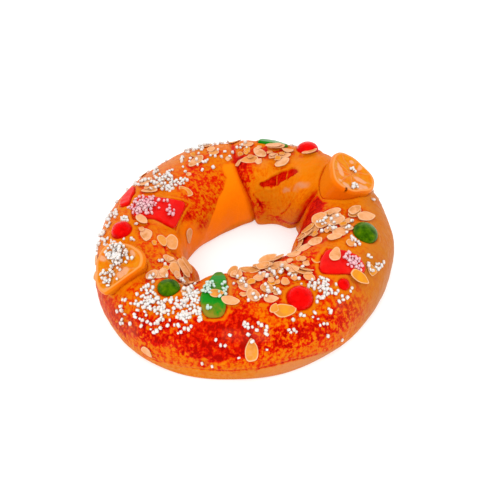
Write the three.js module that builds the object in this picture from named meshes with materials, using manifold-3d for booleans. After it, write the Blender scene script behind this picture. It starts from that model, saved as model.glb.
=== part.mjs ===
// Roscon de reyes: a sweet bread ring baked on a flat tray, dressed with candied orange slices,
// cherries and strips of candied fruit, flaked almonds and pearl sugar.
// Millimetres, +Z up. The origin is on the table, under the middle of the whole ring's box.
//
// Every place on the crust is named by two angles in degrees. The first is the angle round the ring,
// from +X towards +Y. The second is the lean: 0 is the widest line of the outer wall, 90 the crown,
// 180 the widest line of the hole's wall, and -90 or 270 the middle of the flat base.

import * as THREE from 'three';
import { mergeVertices } from 'three/addons/utils/BufferGeometryUtils.js';
import Module from 'manifold-3d';

const wasm = await Module();
wasm.setup();

// ---------------------------------------------------------------- driving dimensions: the bread
const RIM_RADII = [136, 141, 139, 138, 138, 135, 138, 144, 148, 142, 135.5, 133]; // every 30 degrees
const HOLE_RADII = [44, 59, 69, 53, 44, 46, 54, 59, 53, 39, 34, 42];
const RING_CENTRE = [-0.33, 2.7];
const LOAF_HEIGHT = 59.5;
const BULGE_SHARE = 0.3; // level of the widest line, as a share of the height
const ROUNDNESS = 2.2; // superellipse exponent of the dome above that line
const BASE_SHARE = 0.88; // half width of the flat base, as a share of the tube's
const BASE_EDGE_LEAN = 44.43; // lean below the widest line where the flat base starts
const BASE_FADE = 0.3; // share of the way to the base's middle over which swells die away

// Gentle waves of the skin: their depth, and how often and from what phase they run each way.
const WAVES = [
  { depth: 0.9, round: 5, roundPhase: 1.3, across: 2, acrossPhase: 0.4 },
  { depth: 0.63, round: 11, roundPhase: 0.5, across: 3, acrossPhase: 0 },
];

// The tail of the dough laps over the ring as a lobe between two folds.
const LOBE_LEFT = { crown: 97, wall: 82, turn: [105, 90] }; // angle of the fold, and where it bends
const LOBE_RIGHT = { crown: 33, wall: 47, turn: [150, 60] };
const LOBE_SHOULDER = 12; // degrees over which the lobe rises from its folds
const LOBE_RISE = { crown: 3, wall: 9.5, turn: [90, 60] };
const LOBE_END = [250, 20]; // lean by which the lobe has died away under the hole's wall, and over
const FOLD_START = { left: 40, right: 95, over: 40 }; // lean where each fold starts to deepen
const FOLD_DEPTH = 2.5;
const FOLD_WIDTH = 2.2; // degrees

// Dough that has risen beside the right slice.
const HUMP = { angle: 48, lean: 90, reach: [13, 30], height: 5.5 };

// A deep valley where the ring's left limb meets its front limb, on the side of the hole.
const VALLEY = { angle: -126, width: 7, depth: 15, start: 80, over: 35 };

// A torn split in the lobe's skin.
const SPLIT = { angle: 63.5, lean: 138, length: 41, width: 9, depth: 3.2, turn: 31, sides: 10 };
const SPLIT_PROFILE = [[1.1, 2], [0.55, -SPLIT.depth]];

// ------------------------------------------------------------- driving dimensions: the toppings
// Profiles are pairs of a share of the outline and a height, from the top's middle outwards.
const GAP = 0.3; // between a piece of fruit and the bread below it
const SINK = 3; // how far a fruit's shape reaches below the crust before the bread trims it
const SLICE_RIM = [[0.6, -0.8], [0.86, 0.4], [0.95, 0], [1, -3.4]]; // heights under the slice's rise
const SLICE_DEPTH = 12; // how far a slice's foot lies below its seat
const SLICE_SIDES = 24;
const STRIP_PROFILE = [[0.6, 3.6], [0.93, 3.2], [1, 1.8], [0.97, -SINK]];
const STRIP_SIDES = 22;
const CHERRY_SIDES = 16;
const CHERRY_STEPS = [72, 50, 28, 8]; // rise in degrees of each row of the dome
const CHERRY_BEND = 0.25; // how far a cherry's outline follows the crust, 1 being all the way
const CHERRY_OVAL = 0.96; // its width across the ring, as a share of that along it
const CHERRY_TIP = 0.02; // share of the radius of the dome's topmost row
const CHERRY_FOOT = [0.97, -SINK];
const STRIP_CORNER_CUTS = [0.2, 0.25]; // share of its edges by which each corner is cut, in turn
const ROUGHNESS = { bread: 0.45, slice: 0.3, cherry: 0.2, strip: 0.25 };
const DROP_SHARE = 0.5; // how much a place's drop below a fruit's plane adds to its distance

// A slice is a rounded triangle whose corners stand out by a share of the radius, the first at an
// angle, and one side of it is cut off straight, square to an angle and at a distance. Its walls
// taper to a foot, a share of its size.
const SLICES = [
  {
    name: 'orange_slice_right', angle: 27.8, lean: 86.2, radius: 24, rise: 14.8, foot: 0.88,
    facing: [0.457, -0.1, 0.884], corners: [0.09, 7], cut: [60, 30], colour: 0xf0861f,
  },
  {
    name: 'orange_slice_left', angle: -149.7, lean: 62.4, radius: 24.3, rise: 10.5, foot: 0.64,
    facing: [-0.42, -0.3, 0.856], corners: [0.1, -60], cut: [-5, 16.5], colour: 0xf0861f,
  },
];
const CHERRIES = [
  { name: 'red_cherry_front', angle: -64.6, lean: 67.8, radius: 11.5, rise: 9.5, colour: 0xd80f12 },
  { name: 'red_cherry_left', angle: -171.8, lean: 72.5, radius: 9.6, rise: 8, colour: 0xd80f12 },
  { name: 'red_cherry_back', angle: 58.5, lean: 76.5, radius: 10.8, rise: 8.5, colour: 0xd80f12 },
  { name: 'red_cherry_piece', angle: -43, lean: 57, radius: 5.5, rise: 4, colour: 0xd80f12 },
  { name: 'green_cherry_right', angle: -8.8, lean: 67.5, radius: 12.2, rise: 7.5, colour: 0x3e6e14 },
  { name: 'green_cherry_front', angle: -127, lean: 83.5, radius: 10, rise: 6.5, colour: 0x4f7a1c },
];

// A strip lies at its seat, and its corners are places on the crust: angle and lean.
const STRIPS = [
  {
    name: 'red_strip_left', seat: [171, 103], colour: 0xe01812,
    corners: [[181.5, 84], [180.2, 106], [182.3, 122], [181.9, 138.5], [151.6, 129.5], [157.5, 113.5],
      [161.4, 99], [163.5, 72]],
  },
  {
    name: 'red_strip_back', seat: [163.5, 62], colour: 0xe01812,
    corners: [[165, 53], [169.5, 58.5], [170, 63], [169.5, 72], [164, 69], [159.5, 67], [153.6, 56.5]],
  },
  {
    name: 'red_strip_right', seat: [-34.5, 74], colour: 0xe01812,
    corners: [[-28.5, 50.5], [-25.4, 66], [-26.5, 80], [-31, 95], [-40, 92], [-46, 86], [-47.5, 79.5],
      [-38, 62.5], [-31.5, 49.5]],
  },
  {
    name: 'green_strip_front', seat: [-105.2, 92], colour: 0x2f8a2c,
    corners: [[-105, 61], [-99.5, 62.5], [-98.2, 70], [-99.5, 92], [-102.4, 109], [-107, 124],
      [-112, 128], [-111.2, 98], [-111.3, 84], [-108, 68.5]],
  },
  {
    name: 'green_strip_back', seat: [76.5, 72], colour: 0x2f8a2c,
    corners: [[67.8, 79], [71.9, 69], [77.1, 58.5], [80.9, 57.8], [83.4, 67], [84.6, 77.5], [79, 80],
      [74.2, 81.4], [69.5, 83.5]],
  },
];

// Flaked almonds on the crust: angle, lean, turn from the ring's direction, length, tilt.
const FLAKES = [
  [-166, 99, 0, 15, 0], [-161, 118, 5, 14, 4], [-158, 128, 0, 20, 45], [-135.5, 110, -22, 16, 10],
  [-137, 89, 41, 15, 5], [-118, 88, 26, 13, 3], [171, 164, 62, 15, 0], [-131, 129, -5, 20, -8],
  [-99, 121, -70, 19, 40], [-86, 121, -20, 20, 10], [-67, 113, -3, 18, 4], [-68, 126, 11, 19, 38],
  [-81, 104, 35, 13, 6], [-58, 94, -50, 12, 5], [-52, 96, -62, 21, -32], [-90, 93, -45, 15, 4],
  [-78, 88, -43, 14, 6], [-86, 84, -59, 15, 4], [-78, 77, -21, 13, 3], [-97, 79, -15, 16, 4],
  [-73.5, 61, -15, 21, 10], [-88, 26, 89, 20, 0], [-124, 2, -37, 12, 0], [6, 106, -61, 20, 8],
  [-2, 99, -61, 17, 6], [-8, 125, -67, 17, 10], [-6, 137, -62, 19, -12], [-32, 121, -39, 16, 8],
  [-31, 136, 22, 22, -10], [-12, 92, -50, 17, 6], [-18, 96, -56, 14, 4], [5, 81, -43, 16, 5],
  [3, 68, -64, 19, 5], [-26, 41, -89, 14, 4], [88, 106, -3, 18, 0], [82, 96, -56, 17, 8],
  [74, 87, 15, 18, 4], [67, 102, 34, 13, 5], [66, 116, 44, 15, 5], [55, 88, 60, 16, 10],
  [96, 53, -39, 17, 4], [90, 80, -3, 14, 5], [121, 87, 19, 20, 3], [156, 82, -54, 15, 5],
  [150, 67, 0, 15, 3], [109, 83, 4, 12, 4], [110, 58, 27, 16, 5], [-177, 93, 44, 14, 3],
  [144, 114, -82, 15, 2], [140, 34, 30, 16, 4], [72, 30, -40, 16, 4], [30, 30, 20, 15, 4],
];
const FLAKE_THICKNESS = 1.7;
const FLAKE_SINK = 0.75;
const FLAKE_SIDES = 7;
const FLAKE_WIDTH = { least: 3.5, perLength: 0.4, most: 11 };
const FLAKE_TAPER = 0.2; // how much one end is narrower than the other
const TILT_LIFT = 0.28; // share of its width by which a tilted flake is raised for its tilt

// Pearl sugar on the crust: the angles and leans that a patch reaches over, and its grains. The
// first of each patch are modelled, as the share below says.
const SUGAR_PATCHES = [
  [[-140, -130], [14, 50], 16], [[-140, -128], [50, 84], 38], [[-130, -119], [30, 58], 16],
  [[-129, -118], [56, 88], 44], [[-119, -109], [40, 62], 14], [[-118, -108], [62, 88], 40],
  [[-109, -103], [60, 88], 22], [[-146, -138], [68, 84], 6], [[-146, -138], [94, 110], 4],
  [[-134, -118], [88, 112], 4], [[-108, -102], [96, 122], 7], [[-101, -93], [24, 60], 4],
  [[-100, -94], [94, 106], 4], [[-91, -80], [36, 60], 13], [[-92, -78], [72, 104], 10],
  [[-80, -68], [76, 112], 13], [[-72, -60], [34, 58], 10], [[-71, -61], [94, 106], 7],
  [[-62, -50], [30, 58], 10], [[-61, -49], [58, 80], 34], [[-60, -52], [84, 96], 3],
  [[-51, -41], [42, 62], 20], [[-50, -42], [62, 80], 8], [[-31, -21], [36, 66], 14],
  [[-22, -12], [32, 46], 4], [[-21, -11], [70, 88], 13], [[-13, 2], [74, 96], 9],
  [[-12, 1], [96, 114], 16], [[-172, -161], [46, 84], 30], [[178, 188], [14, 52], 14],
  [[178, 188], [70, 108], 20], [[168, 180], [38, 60], 14], [[168, 180], [74, 106], 30],
  [[161, 170], [70, 96], 22], [[162, 170], [98, 122], 10], [[149, 162], [46, 66], 16],
  [[148, 160], [82, 98], 12], [[139, 151], [62, 84], 18], [[139, 150], [82, 102], 22],
  [[129, 140], [84, 106], 6], [[129, 140], [46, 60], 3], [[109, 121], [48, 70], 15],
  [[110, 128], [70, 104], 15], [[98, 110], [46, 60], 6], [[100, 110], [80, 100], 5],
  [[89, 99], [70, 92], 6], [[114, 165], [8, 40], 18], [[15, 110], [8, 54], 22], [[-105, -50], [-4, 30], 6],
];
const MODELLED_SHARE = 0.14;
const PATCH_SEED = 9001;
const SHAPE_SEED = 4001;
const GRAIN_SIZE = { largest: 3.4, smallest: 2.6 };
const GRAIN_WIDTH = [0.66, 0.2]; // least share of the length, and what a draw adds
const GRAIN_HEIGHT = [0.6, 0.2];
const GRAIN_TILT = 25; // most, in degrees
const GRAIN_LIFT = 0.14; // height of a grain's middle above what it lies on, as a share of its size
const GRAIN_REACH = 0.8; // distance a grain needs from fruit, as a share of its size
const GRAIN_SPACING = 2.5;
const CLUMP_CHANCE = 0.25; // chance that a grain lies against the one before it
const CLUMP_STEP = [1.6, 3.4]; // degrees of angle and of lean to the grain it lies against

// Sugar on fruit: the fruit, the heap's middle and reach along and across it, and its grains.
const FRUIT_SUGAR = [
  ['orange_slice_left', [-7, 5], [15, 11], 12], ['red_strip_left', [2, -10], [12, 10], 10],
  ['red_strip_right', [8, -10], [6, 12], 4], ['green_strip_front', [-6, 0], [5, 7], 5],
  ['orange_slice_right', [-14, 3], [4, 4], 2],
];
const FRUIT_SEED = 501;
const FRUIT_EDGE = 0.8; // share of a fruit's half size within which grains lie on it

// Flakes that lie on fruit: the fruit, place along and across it, turn and length.
const FRUIT_FLAKES = [
  ['green_strip_front', [2, -7], 0, 12],
  ['red_strip_right', [2, 9], 22, 17],
];

// ------------------------------------------------------------------------------- small helpers
function smooth(t) {
  const s = Math.min(1, Math.max(0, t));
  return s * s * (3 - 2 * s);
}

// From 0 at a start to 1 a distance later, smoothly.
function risen(value, [start, over]) {
  return smooth((value - start) / over);
}

function degrees(value) {
  return THREE.MathUtils.degToRad(value);
}

// An angle in degrees, brought to between -180 and 180.
function turned(angle) {
  return THREE.MathUtils.euclideanModulo(angle + 180, 360) - 180;
}

// The same run of draws for the same seed: the minimal standard generator.
function draws(seed) {
  let state = seed;
  return () => {
    state = (state * 16807) % 2147483647;
    return state / 2147483647;
  };
}

// A smooth closed curve through radii given at even steps round the ring.
function radiusAt(radii, angle) {
  const place = THREE.MathUtils.euclideanModulo(angle, 360) / 360 * radii.length;
  const step = Math.floor(place);
  const f = place - step;
  const [a, b, c, d] = [-1, 0, 1, 2].map((k) => radii[(step + k + radii.length) % radii.length]);
  return b + 0.5 * f * (c - a + f * (2 * a - 5 * b + 4 * c - d + f * (3 * (b - c) + d - a)));
}

// A place turned about the origin by an angle in radians.
function spun(x, y, turn) {
  return [x * Math.cos(turn) - y * Math.sin(turn), x * Math.sin(turn) + y * Math.cos(turn)];
}

// ----------------------------------------------------------------------------- the bread's form
function foldAngle(fold, lean) {
  return THREE.MathUtils.lerp(fold.crown, fold.wall, risen(lean, fold.turn));
}

// How far the lobe stands over the plain ring, less the grooves along its folds.
function lobeRise(at, lean) {
  const left = foldAngle(LOBE_LEFT, lean);
  const right = foldAngle(LOBE_RIGHT, lean);
  const inside = Math.min(left - at, at - right);
  const share = Math.min(1, Math.max(0, inside / LOBE_SHOULDER));
  const rise = THREE.MathUtils.lerp(LOBE_RISE.crown, LOBE_RISE.wall, risen(lean, LOBE_RISE.turn));
  const groove = FOLD_DEPTH * Math.exp(-((inside / FOLD_WIDTH) ** 2));
  const leftness = smooth((at - right) / (left - right));
  const start = THREE.MathUtils.lerp(FOLD_START.right, FOLD_START.left, leftness);
  const fade = risen(lean, [start, FOLD_START.over]) * smooth((LOBE_END[0] - lean) / LOBE_END[1]);
  return (rise * Math.sqrt(1 - (1 - share) ** 2) - groove) * fade;
}

// How far the skin stands out of, or sinks into, the plain ring.
function swell(angle, lean) {
  const at = turned(angle);
  const valley = VALLEY.depth * Math.exp(-((turned(at - VALLEY.angle) / VALLEY.width) ** 2));
  const round = turned(at - HUMP.angle) / HUMP.reach[0];
  const across = (lean - HUMP.lean) / HUMP.reach[1];
  let lift = lobeRise(at, lean) - valley * risen(lean, [VALLEY.start, VALLEY.over]);
  lift += HUMP.height * Math.exp(-(round ** 2 + across ** 2));
  for (const wave of WAVES) {
    const along = Math.sin(wave.round * degrees(at) + wave.roundPhase);
    lift += wave.depth * along * Math.cos(wave.across * degrees(lean) + wave.acrossPhase);
  }
  return lift;
}

// The point of the crust at an angle and a lean.
function crust(angle, lean) {
  const outer = radiusAt(RIM_RADII, angle);
  const inner = radiusAt(HOLE_RADII, angle);
  const middle = (outer + inner) / 2;
  const half = (outer - inner) / 2;
  const bulge = LOAF_HEIGHT * BULGE_SHARE;
  const c = Math.cos(degrees(lean));
  const s = Math.sin(degrees(lean));
  const baseSine = Math.sin(degrees(BASE_EDGE_LEAN));
  const down = Math.max(0, -s) / baseSine;
  let across = Math.abs(c) ** (2 / ROUNDNESS);
  let up = (LOAF_HEIGHT - bulge) * Math.max(0, s) ** (2 / ROUNDNESS);
  if (s < 0) {
    const foot = BASE_SHARE + (1 - BASE_SHARE) * Math.sqrt(Math.max(0, 1 - down * down));
    across = down < 1 ? foot : BASE_SHARE * (1 + s) / (1 - baseSine);
    up = -bulge * Math.min(1, down);
  }
  across *= half * Math.sign(c);
  const reach = Math.hypot(across, up) || 1;
  const fade = down < 1 ? 1 : Math.max(0, (1 + s) / BASE_FADE) ** 2;
  const lift = swell(angle, lean) * fade;
  const radius = middle + across + lift * across / reach;
  const height = bulge + up + lift * Math.max(0, up) / reach;
  return new THREE.Vector3(radius * Math.cos(degrees(angle)), radius * Math.sin(degrees(angle)), height);
}

// Where a topping lies: the point, the ring's direction there, the way across it, and the normal.
function seatAt(angle, lean) {
  const step = 0.6;
  const point = crust(angle, lean);
  const along = crust(angle + step, lean).sub(crust(angle - step, lean));
  const across = crust(angle, lean + step).sub(crust(angle, lean - step));
  const perDegree = [along.length() / (2 * step), across.length() / (2 * step)];
  const normal = along.clone().cross(across).normalize();
  along.normalize();
  across.crossVectors(normal, along);
  return { angle, lean, point, along, across, normal, perDegree };
}

// A point over the crust, x along the ring and y across it from a seat, h above the skin.
function draped(seat, x, y, h) {
  const spot = seatAt(seat.angle + x / seat.perDegree[0], seat.lean + y / seat.perDegree[1]);
  return spot.point.addScaledVector(spot.normal, h);
}

// The same on the flat plane that touches the crust at the seat.
function laid(seat, x, y, h) {
  const point = seat.point.clone().addScaledVector(seat.along, x);
  return point.addScaledVector(seat.across, y).addScaledVector(seat.normal, h);
}

// ------------------------------------------------------------------------------ solids and joins
const WELD = 1e-4; // points closer than this are one

function toSolid(geometry) {
  const bare = new THREE.BufferGeometry();
  bare.setAttribute('position', geometry.getAttribute('position'));
  bare.setIndex(geometry.getIndex());
  const merged = mergeVertices(bare, WELD);
  return new wasm.Manifold(new wasm.Mesh({
    numProp: 3,
    vertProperties: new Float32Array(merged.getAttribute('position').array),
    triVerts: new Uint32Array(merged.getIndex().array),
  }));
}

// The outer skin of a joined solid: pockets sealed between its pieces are filled, loose bits dropped.
function outerSkin(solid) {
  const { vertProperties, triVerts } = solid.getMesh();
  const owner = Array.from({ length: vertProperties.length / 3 }, (_, k) => k);
  const ownerOf = (k) => {
    let at = k;
    while (owner[at] !== at) {
      owner[at] = owner[owner[at]];
      at = owner[at];
    }
    return at;
  };
  const shells = new Map();
  for (let t = 0; t < triVerts.length; t += 3) {
    owner[ownerOf(triVerts[t])] = ownerOf(triVerts[t + 1]);
    owner[ownerOf(triVerts[t + 1])] = ownerOf(triVerts[t + 2]);
  }
  for (let t = 0; t < triVerts.length; t += 3) {
    const shell = ownerOf(triVerts[t]);
    if (!shells.has(shell)) {
      shells.set(shell, []);
    }
    shells.get(shell).push(triVerts[t], triVerts[t + 1], triVerts[t + 2]);
  }
  const largest = [...shells.values()].sort((a, b) => b.length - a.length)[0];
  const geometry = new THREE.BufferGeometry();
  geometry.setAttribute('position', new THREE.BufferAttribute(new Float32Array(vertProperties), 3));
  geometry.setIndex(largest);
  return geometry;
}

function toMesh(name, solid, colour, roughness) {
  const geometry = outerSkin(solid);
  const material = new THREE.MeshStandardMaterial({ color: colour, roughness, metalness: 0 });
  const mesh = new THREE.Mesh(geometry, material);
  mesh.name = name;
  return mesh;
}

// A closed surface from rows of points that each close on themselves. Rows close on one another too,
// or end in a middle point at either end.
function closedSurface(rows, ends) {
  const points = rows.flat().concat(ends);
  const count = rows[0].length;
  const faces = [];
  const rowPairs = ends.length ? rows.length - 1 : rows.length;
  for (let i = 0; i < rowPairs; i += 1) {
    for (let j = 0; j < count; j += 1) {
      const a = i * count + j;
      const b = i * count + (j + 1) % count;
      const c = ((i + 1) % rows.length) * count + (j + 1) % count;
      const d = ((i + 1) % rows.length) * count + j;
      faces.push(a, d, b, b, d, c);
    }
  }
  if (ends.length) {
    const last = (rows.length - 1) * count;
    for (let j = 0; j < count; j += 1) {
      faces.push(rows.length * count, j, (j + 1) % count);
      faces.push(rows.length * count + 1, last + (j + 1) % count, last + j);
    }
  }
  const geometry = new THREE.BufferGeometry();
  geometry.setAttribute('position', new THREE.Float32BufferAttribute(points.flatMap((p) => p.toArray()), 3));
  geometry.setIndex(faces);
  return toSolid(geometry);
}

// A closed outline carried over a profile, and every point put in place by a function.
function moulded(line, profile, place) {
  const rows = profile.map(([share, height]) => line.map(([x, y]) => place(x * share, y * share, height)));
  const top = place(0, 0, profile[0][1]);
  const underside = place(0, 0, profile[profile.length - 1][1]);
  return closedSurface(rows, [top, underside]);
}

// --------------------------------------------------------------------------------- the bread core
const LOBE_COLUMNS = 18;
const RING_COLUMNS = 56;
const DOME_ROWS = 14;
const FOOT_ROWS = 2;
const COLUMN_EASE = 0.6; // how much the lobe's columns crowd towards its folds

// Columns follow the two folds, so that each fold is a clean line of edges.
function columnAngle(index, lean) {
  const left = foldAngle(LOBE_LEFT, lean);
  const right = foldAngle(LOBE_RIGHT, lean);
  if (index < LOBE_COLUMNS) {
    const share = index / LOBE_COLUMNS;
    const eased = 0.5 - 0.5 * Math.cos(Math.PI * share);
    return right + (left - right) * THREE.MathUtils.lerp(share, eased, COLUMN_EASE);
  }
  return left + (360 + right - left) * (index - LOBE_COLUMNS) / RING_COLUMNS;
}

function rowLeans() {
  const leans = [-90];
  for (let k = 0; k < FOOT_ROWS; k += 1) {
    leans.push(-BASE_EDGE_LEAN * (1 - k / FOOT_ROWS));
  }
  for (let k = 0; k <= DOME_ROWS; k += 1) {
    leans.push(180 * k / DOME_ROWS);
  }
  for (let k = 1; k <= FOOT_ROWS; k += 1) {
    leans.push(180 + BASE_EDGE_LEAN * k / FOOT_ROWS);
  }
  return leans;
}

// The bread without its toppings, grown outwards by an offset.
function breadCore(offset) {
  const rows = rowLeans().map((lean) => {
    const row = [];
    for (let k = 0; k < LOBE_COLUMNS + RING_COLUMNS; k += 1) {
      const seat = seatAt(columnAngle(k, lean), lean);
      row.push(seat.point.addScaledVector(seat.normal, offset));
    }
    return row.reverse();
  });
  return closedSurface(rows, []);
}

function splitCut() {
  const seat = seatAt(SPLIT.angle, SPLIT.lean);
  const line = [];
  for (let k = 0; k < SPLIT.sides; k += 1) {
    const phi = 2 * Math.PI * k / SPLIT.sides;
    line.push(spun(SPLIT.length / 2 * Math.cos(phi), SPLIT.width / 2 * Math.sin(phi), degrees(SPLIT.turn)));
  }
  return moulded(line, SPLIT_PROFILE, (x, y, h) => draped(seat, x, y, h));
}

// ------------------------------------------------------------------------------- candied fruit
const fruits = [];

// Adds a fruit whose points lie on the plane at its seat or, as bend goes to 1, on the crust.
function addFruit(spec, seat, line, profile, bend, roughness) {
  const place = (x, y, h) => laid(seat, x, y, h).lerp(draped(seat, x, y, h), bend);
  const half = [0, 1].map((k) => {
    const values = line.map((point) => point[k]);
    return (Math.max(...values) - Math.min(...values)) / 2;
  });
  const solid = moulded(line, profile, place).subtract(cushion);
  const { name, colour } = spec;
  fruits.push({ name, colour, roughness, seat, line, half, profile, bend, place, solid });
}

function sliceLine(spec) {
  const [share, cornerAt] = spec.corners;
  const [cutAt, cut] = spec.cut;
  const line = [];
  for (let k = 0; k < SLICE_SIDES; k += 1) {
    const phi = 2 * Math.PI * k / SLICE_SIDES;
    const r = spec.radius * (1 + share * Math.cos(3 * (phi - degrees(cornerAt))));
    const towardsCut = Math.cos(phi - degrees(cutAt));
    const within = towardsCut > 0 ? Math.min(r, cut / towardsCut) : r;
    line.push([within * Math.cos(phi), within * Math.sin(phi)]);
  }
  return line;
}

// A slice is stiff, and lies on the crust at a tilt.
function addSlice(spec) {
  const seat = seatAt(spec.angle, spec.lean);
  const facing = new THREE.Vector3(...spec.facing).normalize();
  const tip = new THREE.Quaternion().setFromUnitVectors(seat.normal, facing);
  [seat.along, seat.across, seat.normal].forEach((v) => v.applyQuaternion(tip));
  const profile = SLICE_RIM.map(([share, under]) => [share, spec.rise + under]);
  addFruit(spec, seat, sliceLine(spec), [...profile, [spec.foot, -SLICE_DEPTH]], 0, ROUGHNESS.slice);
}

function addCherry(spec) {
  const line = [];
  for (let k = 0; k < CHERRY_SIDES; k += 1) {
    const phi = 2 * Math.PI * k / CHERRY_SIDES;
    line.push([spec.radius * Math.cos(phi), spec.radius * CHERRY_OVAL * Math.sin(phi)]);
  }
  const dome = CHERRY_STEPS.map((rise) => [Math.cos(degrees(rise)), spec.rise * Math.sin(degrees(rise))]);
  const profile = [[CHERRY_TIP, spec.rise], ...dome, CHERRY_FOOT];
  addFruit(spec, seatAt(spec.angle, spec.lean), line, profile, CHERRY_BEND, ROUGHNESS.cherry);
}

// A closed line whose every corner is cut off at a share of its edges.
function cutCorners(points, share) {
  return points.flatMap(([x, y], k) => {
    const [nextX, nextY] = points[(k + 1) % points.length];
    return [share, 1 - share].map((t) => [x + (nextX - x) * t, y + (nextY - y) * t]);
  });
}

// The strip's corners, rounded, as evenly spaced points in mm from its seat.
function stripLine(spec, seat) {
  const corners = spec.corners.map(([angle, lean]) => [
    (angle - seat.angle) * seat.perDegree[0], (lean - seat.lean) * seat.perDegree[1]]);
  const round = STRIP_CORNER_CUTS.reduce(cutCorners, corners);
  const path = new THREE.CurvePath();
  round.forEach((point, k) => {
    const next = round[(k + 1) % round.length];
    path.add(new THREE.LineCurve(new THREE.Vector2(...point), new THREE.Vector2(...next)));
  });
  return path.getSpacedPoints(STRIP_SIDES).slice(0, STRIP_SIDES).map((point) => point.toArray());
}

function addStrip(spec) {
  const seat = seatAt(...spec.seat);
  addFruit(spec, seat, stripLine(spec, seat), STRIP_PROFILE, 1, ROUGHNESS.strip);
}

// How far a place on the crust is outside a fruit's outline, and negative inside it.
function edgeDistance(fruit, angle, lean) {
  const { seat, line } = fruit;
  const away = crust(angle, lean).sub(seat.point);
  const drop = away.dot(seat.normal) * DROP_SHARE;
  const flat = [away.dot(seat.along), away.dot(seat.across)].map((v) => Math.sign(v) * Math.hypot(v, drop));
  const bent = [turned(angle - seat.angle) * seat.perDegree[0], (lean - seat.lean) * seat.perDegree[1]];
  const place = new THREE.Vector2(...(fruit.bend === 1 ? bent : flat));
  let nearest = Infinity;
  let inside = false;
  line.forEach((point, k) => {
    const start = new THREE.Vector2(...point);
    const run = new THREE.Vector2(...line[(k + 1) % line.length]).sub(start);
    const from = place.clone().sub(start);
    const t = THREE.MathUtils.clamp(from.dot(run) / run.lengthSq(), 0, 1);
    nearest = Math.min(nearest, from.distanceTo(run.clone().multiplyScalar(t)));
    const crosses = (start.y > place.y) !== (start.y + run.y > place.y);
    if (crosses && place.x < start.x + run.x * (place.y - start.y) / run.y) {
      inside = !inside;
    }
  });
  return inside ? -nearest : nearest;
}

function clearOfFruit(angle, lean, margin) {
  return fruits.every((fruit) => edgeDistance(fruit, angle, lean) > margin);
}

// --------------------------------------------------------------------- flaked almonds and sugar
// A thin oval with one narrower end, its middle plane at the origin.
function flakeSolid(length, width) {
  const outline = [];
  for (let k = 0; k < FLAKE_SIDES; k += 1) {
    const phi = 2 * Math.PI * k / FLAKE_SIDES;
    const half = width / 2 * (1 - FLAKE_TAPER * Math.cos(phi));
    outline.push(new THREE.Vector2(length / 2 * Math.cos(phi), half * Math.sin(phi)));
  }
  const shape = new THREE.Shape(outline);
  const geometry = new THREE.ExtrudeGeometry(shape, { depth: FLAKE_THICKNESS, bevelEnabled: false });
  return geometry.translate(0, 0, -FLAKE_THICKNESS / 2);
}

function placedOn(seat, geometry, turn, tilt, height) {
  const frame = new THREE.Matrix4().makeBasis(seat.along, seat.across, seat.normal);
  frame.setPosition(seat.point.clone().addScaledVector(seat.normal, height));
  geometry.rotateX(degrees(tilt));
  geometry.rotateZ(degrees(turn));
  return toSolid(geometry.applyMatrix4(frame));
}

function flakeOn(seat, turn, length, tilt) {
  const width = Math.min(FLAKE_WIDTH.most, FLAKE_WIDTH.least + FLAKE_WIDTH.perLength * length);
  const height = FLAKE_THICKNESS / 2 - FLAKE_SINK + TILT_LIFT * width * Math.sin(degrees(tilt));
  return placedOn(seat, flakeSolid(length, width), turn, tilt, height);
}

function grainOn(seat, size, draw) {
  const [width, height] = [GRAIN_WIDTH, GRAIN_HEIGHT].map(([least, more]) => size * (least + more * draw()));
  const geometry = new THREE.BoxGeometry(size, width, height);
  geometry.rotateX(draw() * Math.PI);
  return placedOn(seat, geometry, draw() * 360, GRAIN_TILT * draw(), size * GRAIN_LIFT);
}

function breadFlakes() {
  const clear = FLAKES.filter(([angle, lean, , length]) => clearOfFruit(angle, lean, length / 2));
  return clear.map(([angle, lean, turn, length, tilt]) => flakeOn(seatAt(angle, lean), turn, length, tilt));
}

// The places of a patch's first grains, [angle, lean], none closer to another than the spacing.
function sugarPlaces(angles, leans, draw, count) {
  const places = [];
  const points = [];
  while (places.length < count) {
    let angle = THREE.MathUtils.lerp(...angles, draw());
    let lean = THREE.MathUtils.lerp(...leans, draw());
    const clumped = draw() < CLUMP_CHANCE;
    const way = draw() * 2 * Math.PI;
    if (clumped && places.length) {
      const [lastAngle, lastLean] = places[places.length - 1];
      angle = lastAngle + CLUMP_STEP[0] * Math.cos(way);
      lean = lastLean + CLUMP_STEP[1] * Math.sin(way);
    }
    const point = crust(angle, lean);
    if (points.every((other) => other.distanceTo(point) > GRAIN_SPACING)) {
      places.push([angle, lean]);
      points.push(point);
    }
  }
  return places;
}

function breadSugar() {
  const solids = [];
  SUGAR_PATCHES.forEach(([angles, leans, count], index) => {
    const modelled = Math.ceil(count * MODELLED_SHARE);
    const shapes = draws(SHAPE_SEED + index);
    sugarPlaces(angles, leans, draws(PATCH_SEED + index), modelled).forEach(([angle, lean], k) => {
      const size = THREE.MathUtils.lerp(GRAIN_SIZE.largest, GRAIN_SIZE.smallest, k / modelled);
      const grain = grainOn(seatAt(angle, lean), size, shapes);
      if (clearOfFruit(angle, lean, size * GRAIN_REACH)) {
        solids.push(grain);
      }
    });
  });
  return solids;
}

// How far out a place is on a fruit: 0 in its middle and 1 at half its size.
function shareOn(fruit, x, y) {
  return Math.hypot(x / fruit.half[0], y / fruit.half[1]);
}

// Height of a fruit's top over a place in its outline, from its profile.
function topHeight(fruit, x, y) {
  const share = shareOn(fruit, x, y);
  let [lastShare, lastHeight] = [0, fruit.profile[0][1]];
  for (const [nextShare, nextHeight] of fruit.profile) {
    if (share <= nextShare) {
      return THREE.MathUtils.mapLinear(share, lastShare, nextShare, lastHeight, nextHeight);
    }
    [lastShare, lastHeight] = [nextShare, nextHeight];
  }
  return lastHeight;
}

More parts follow.
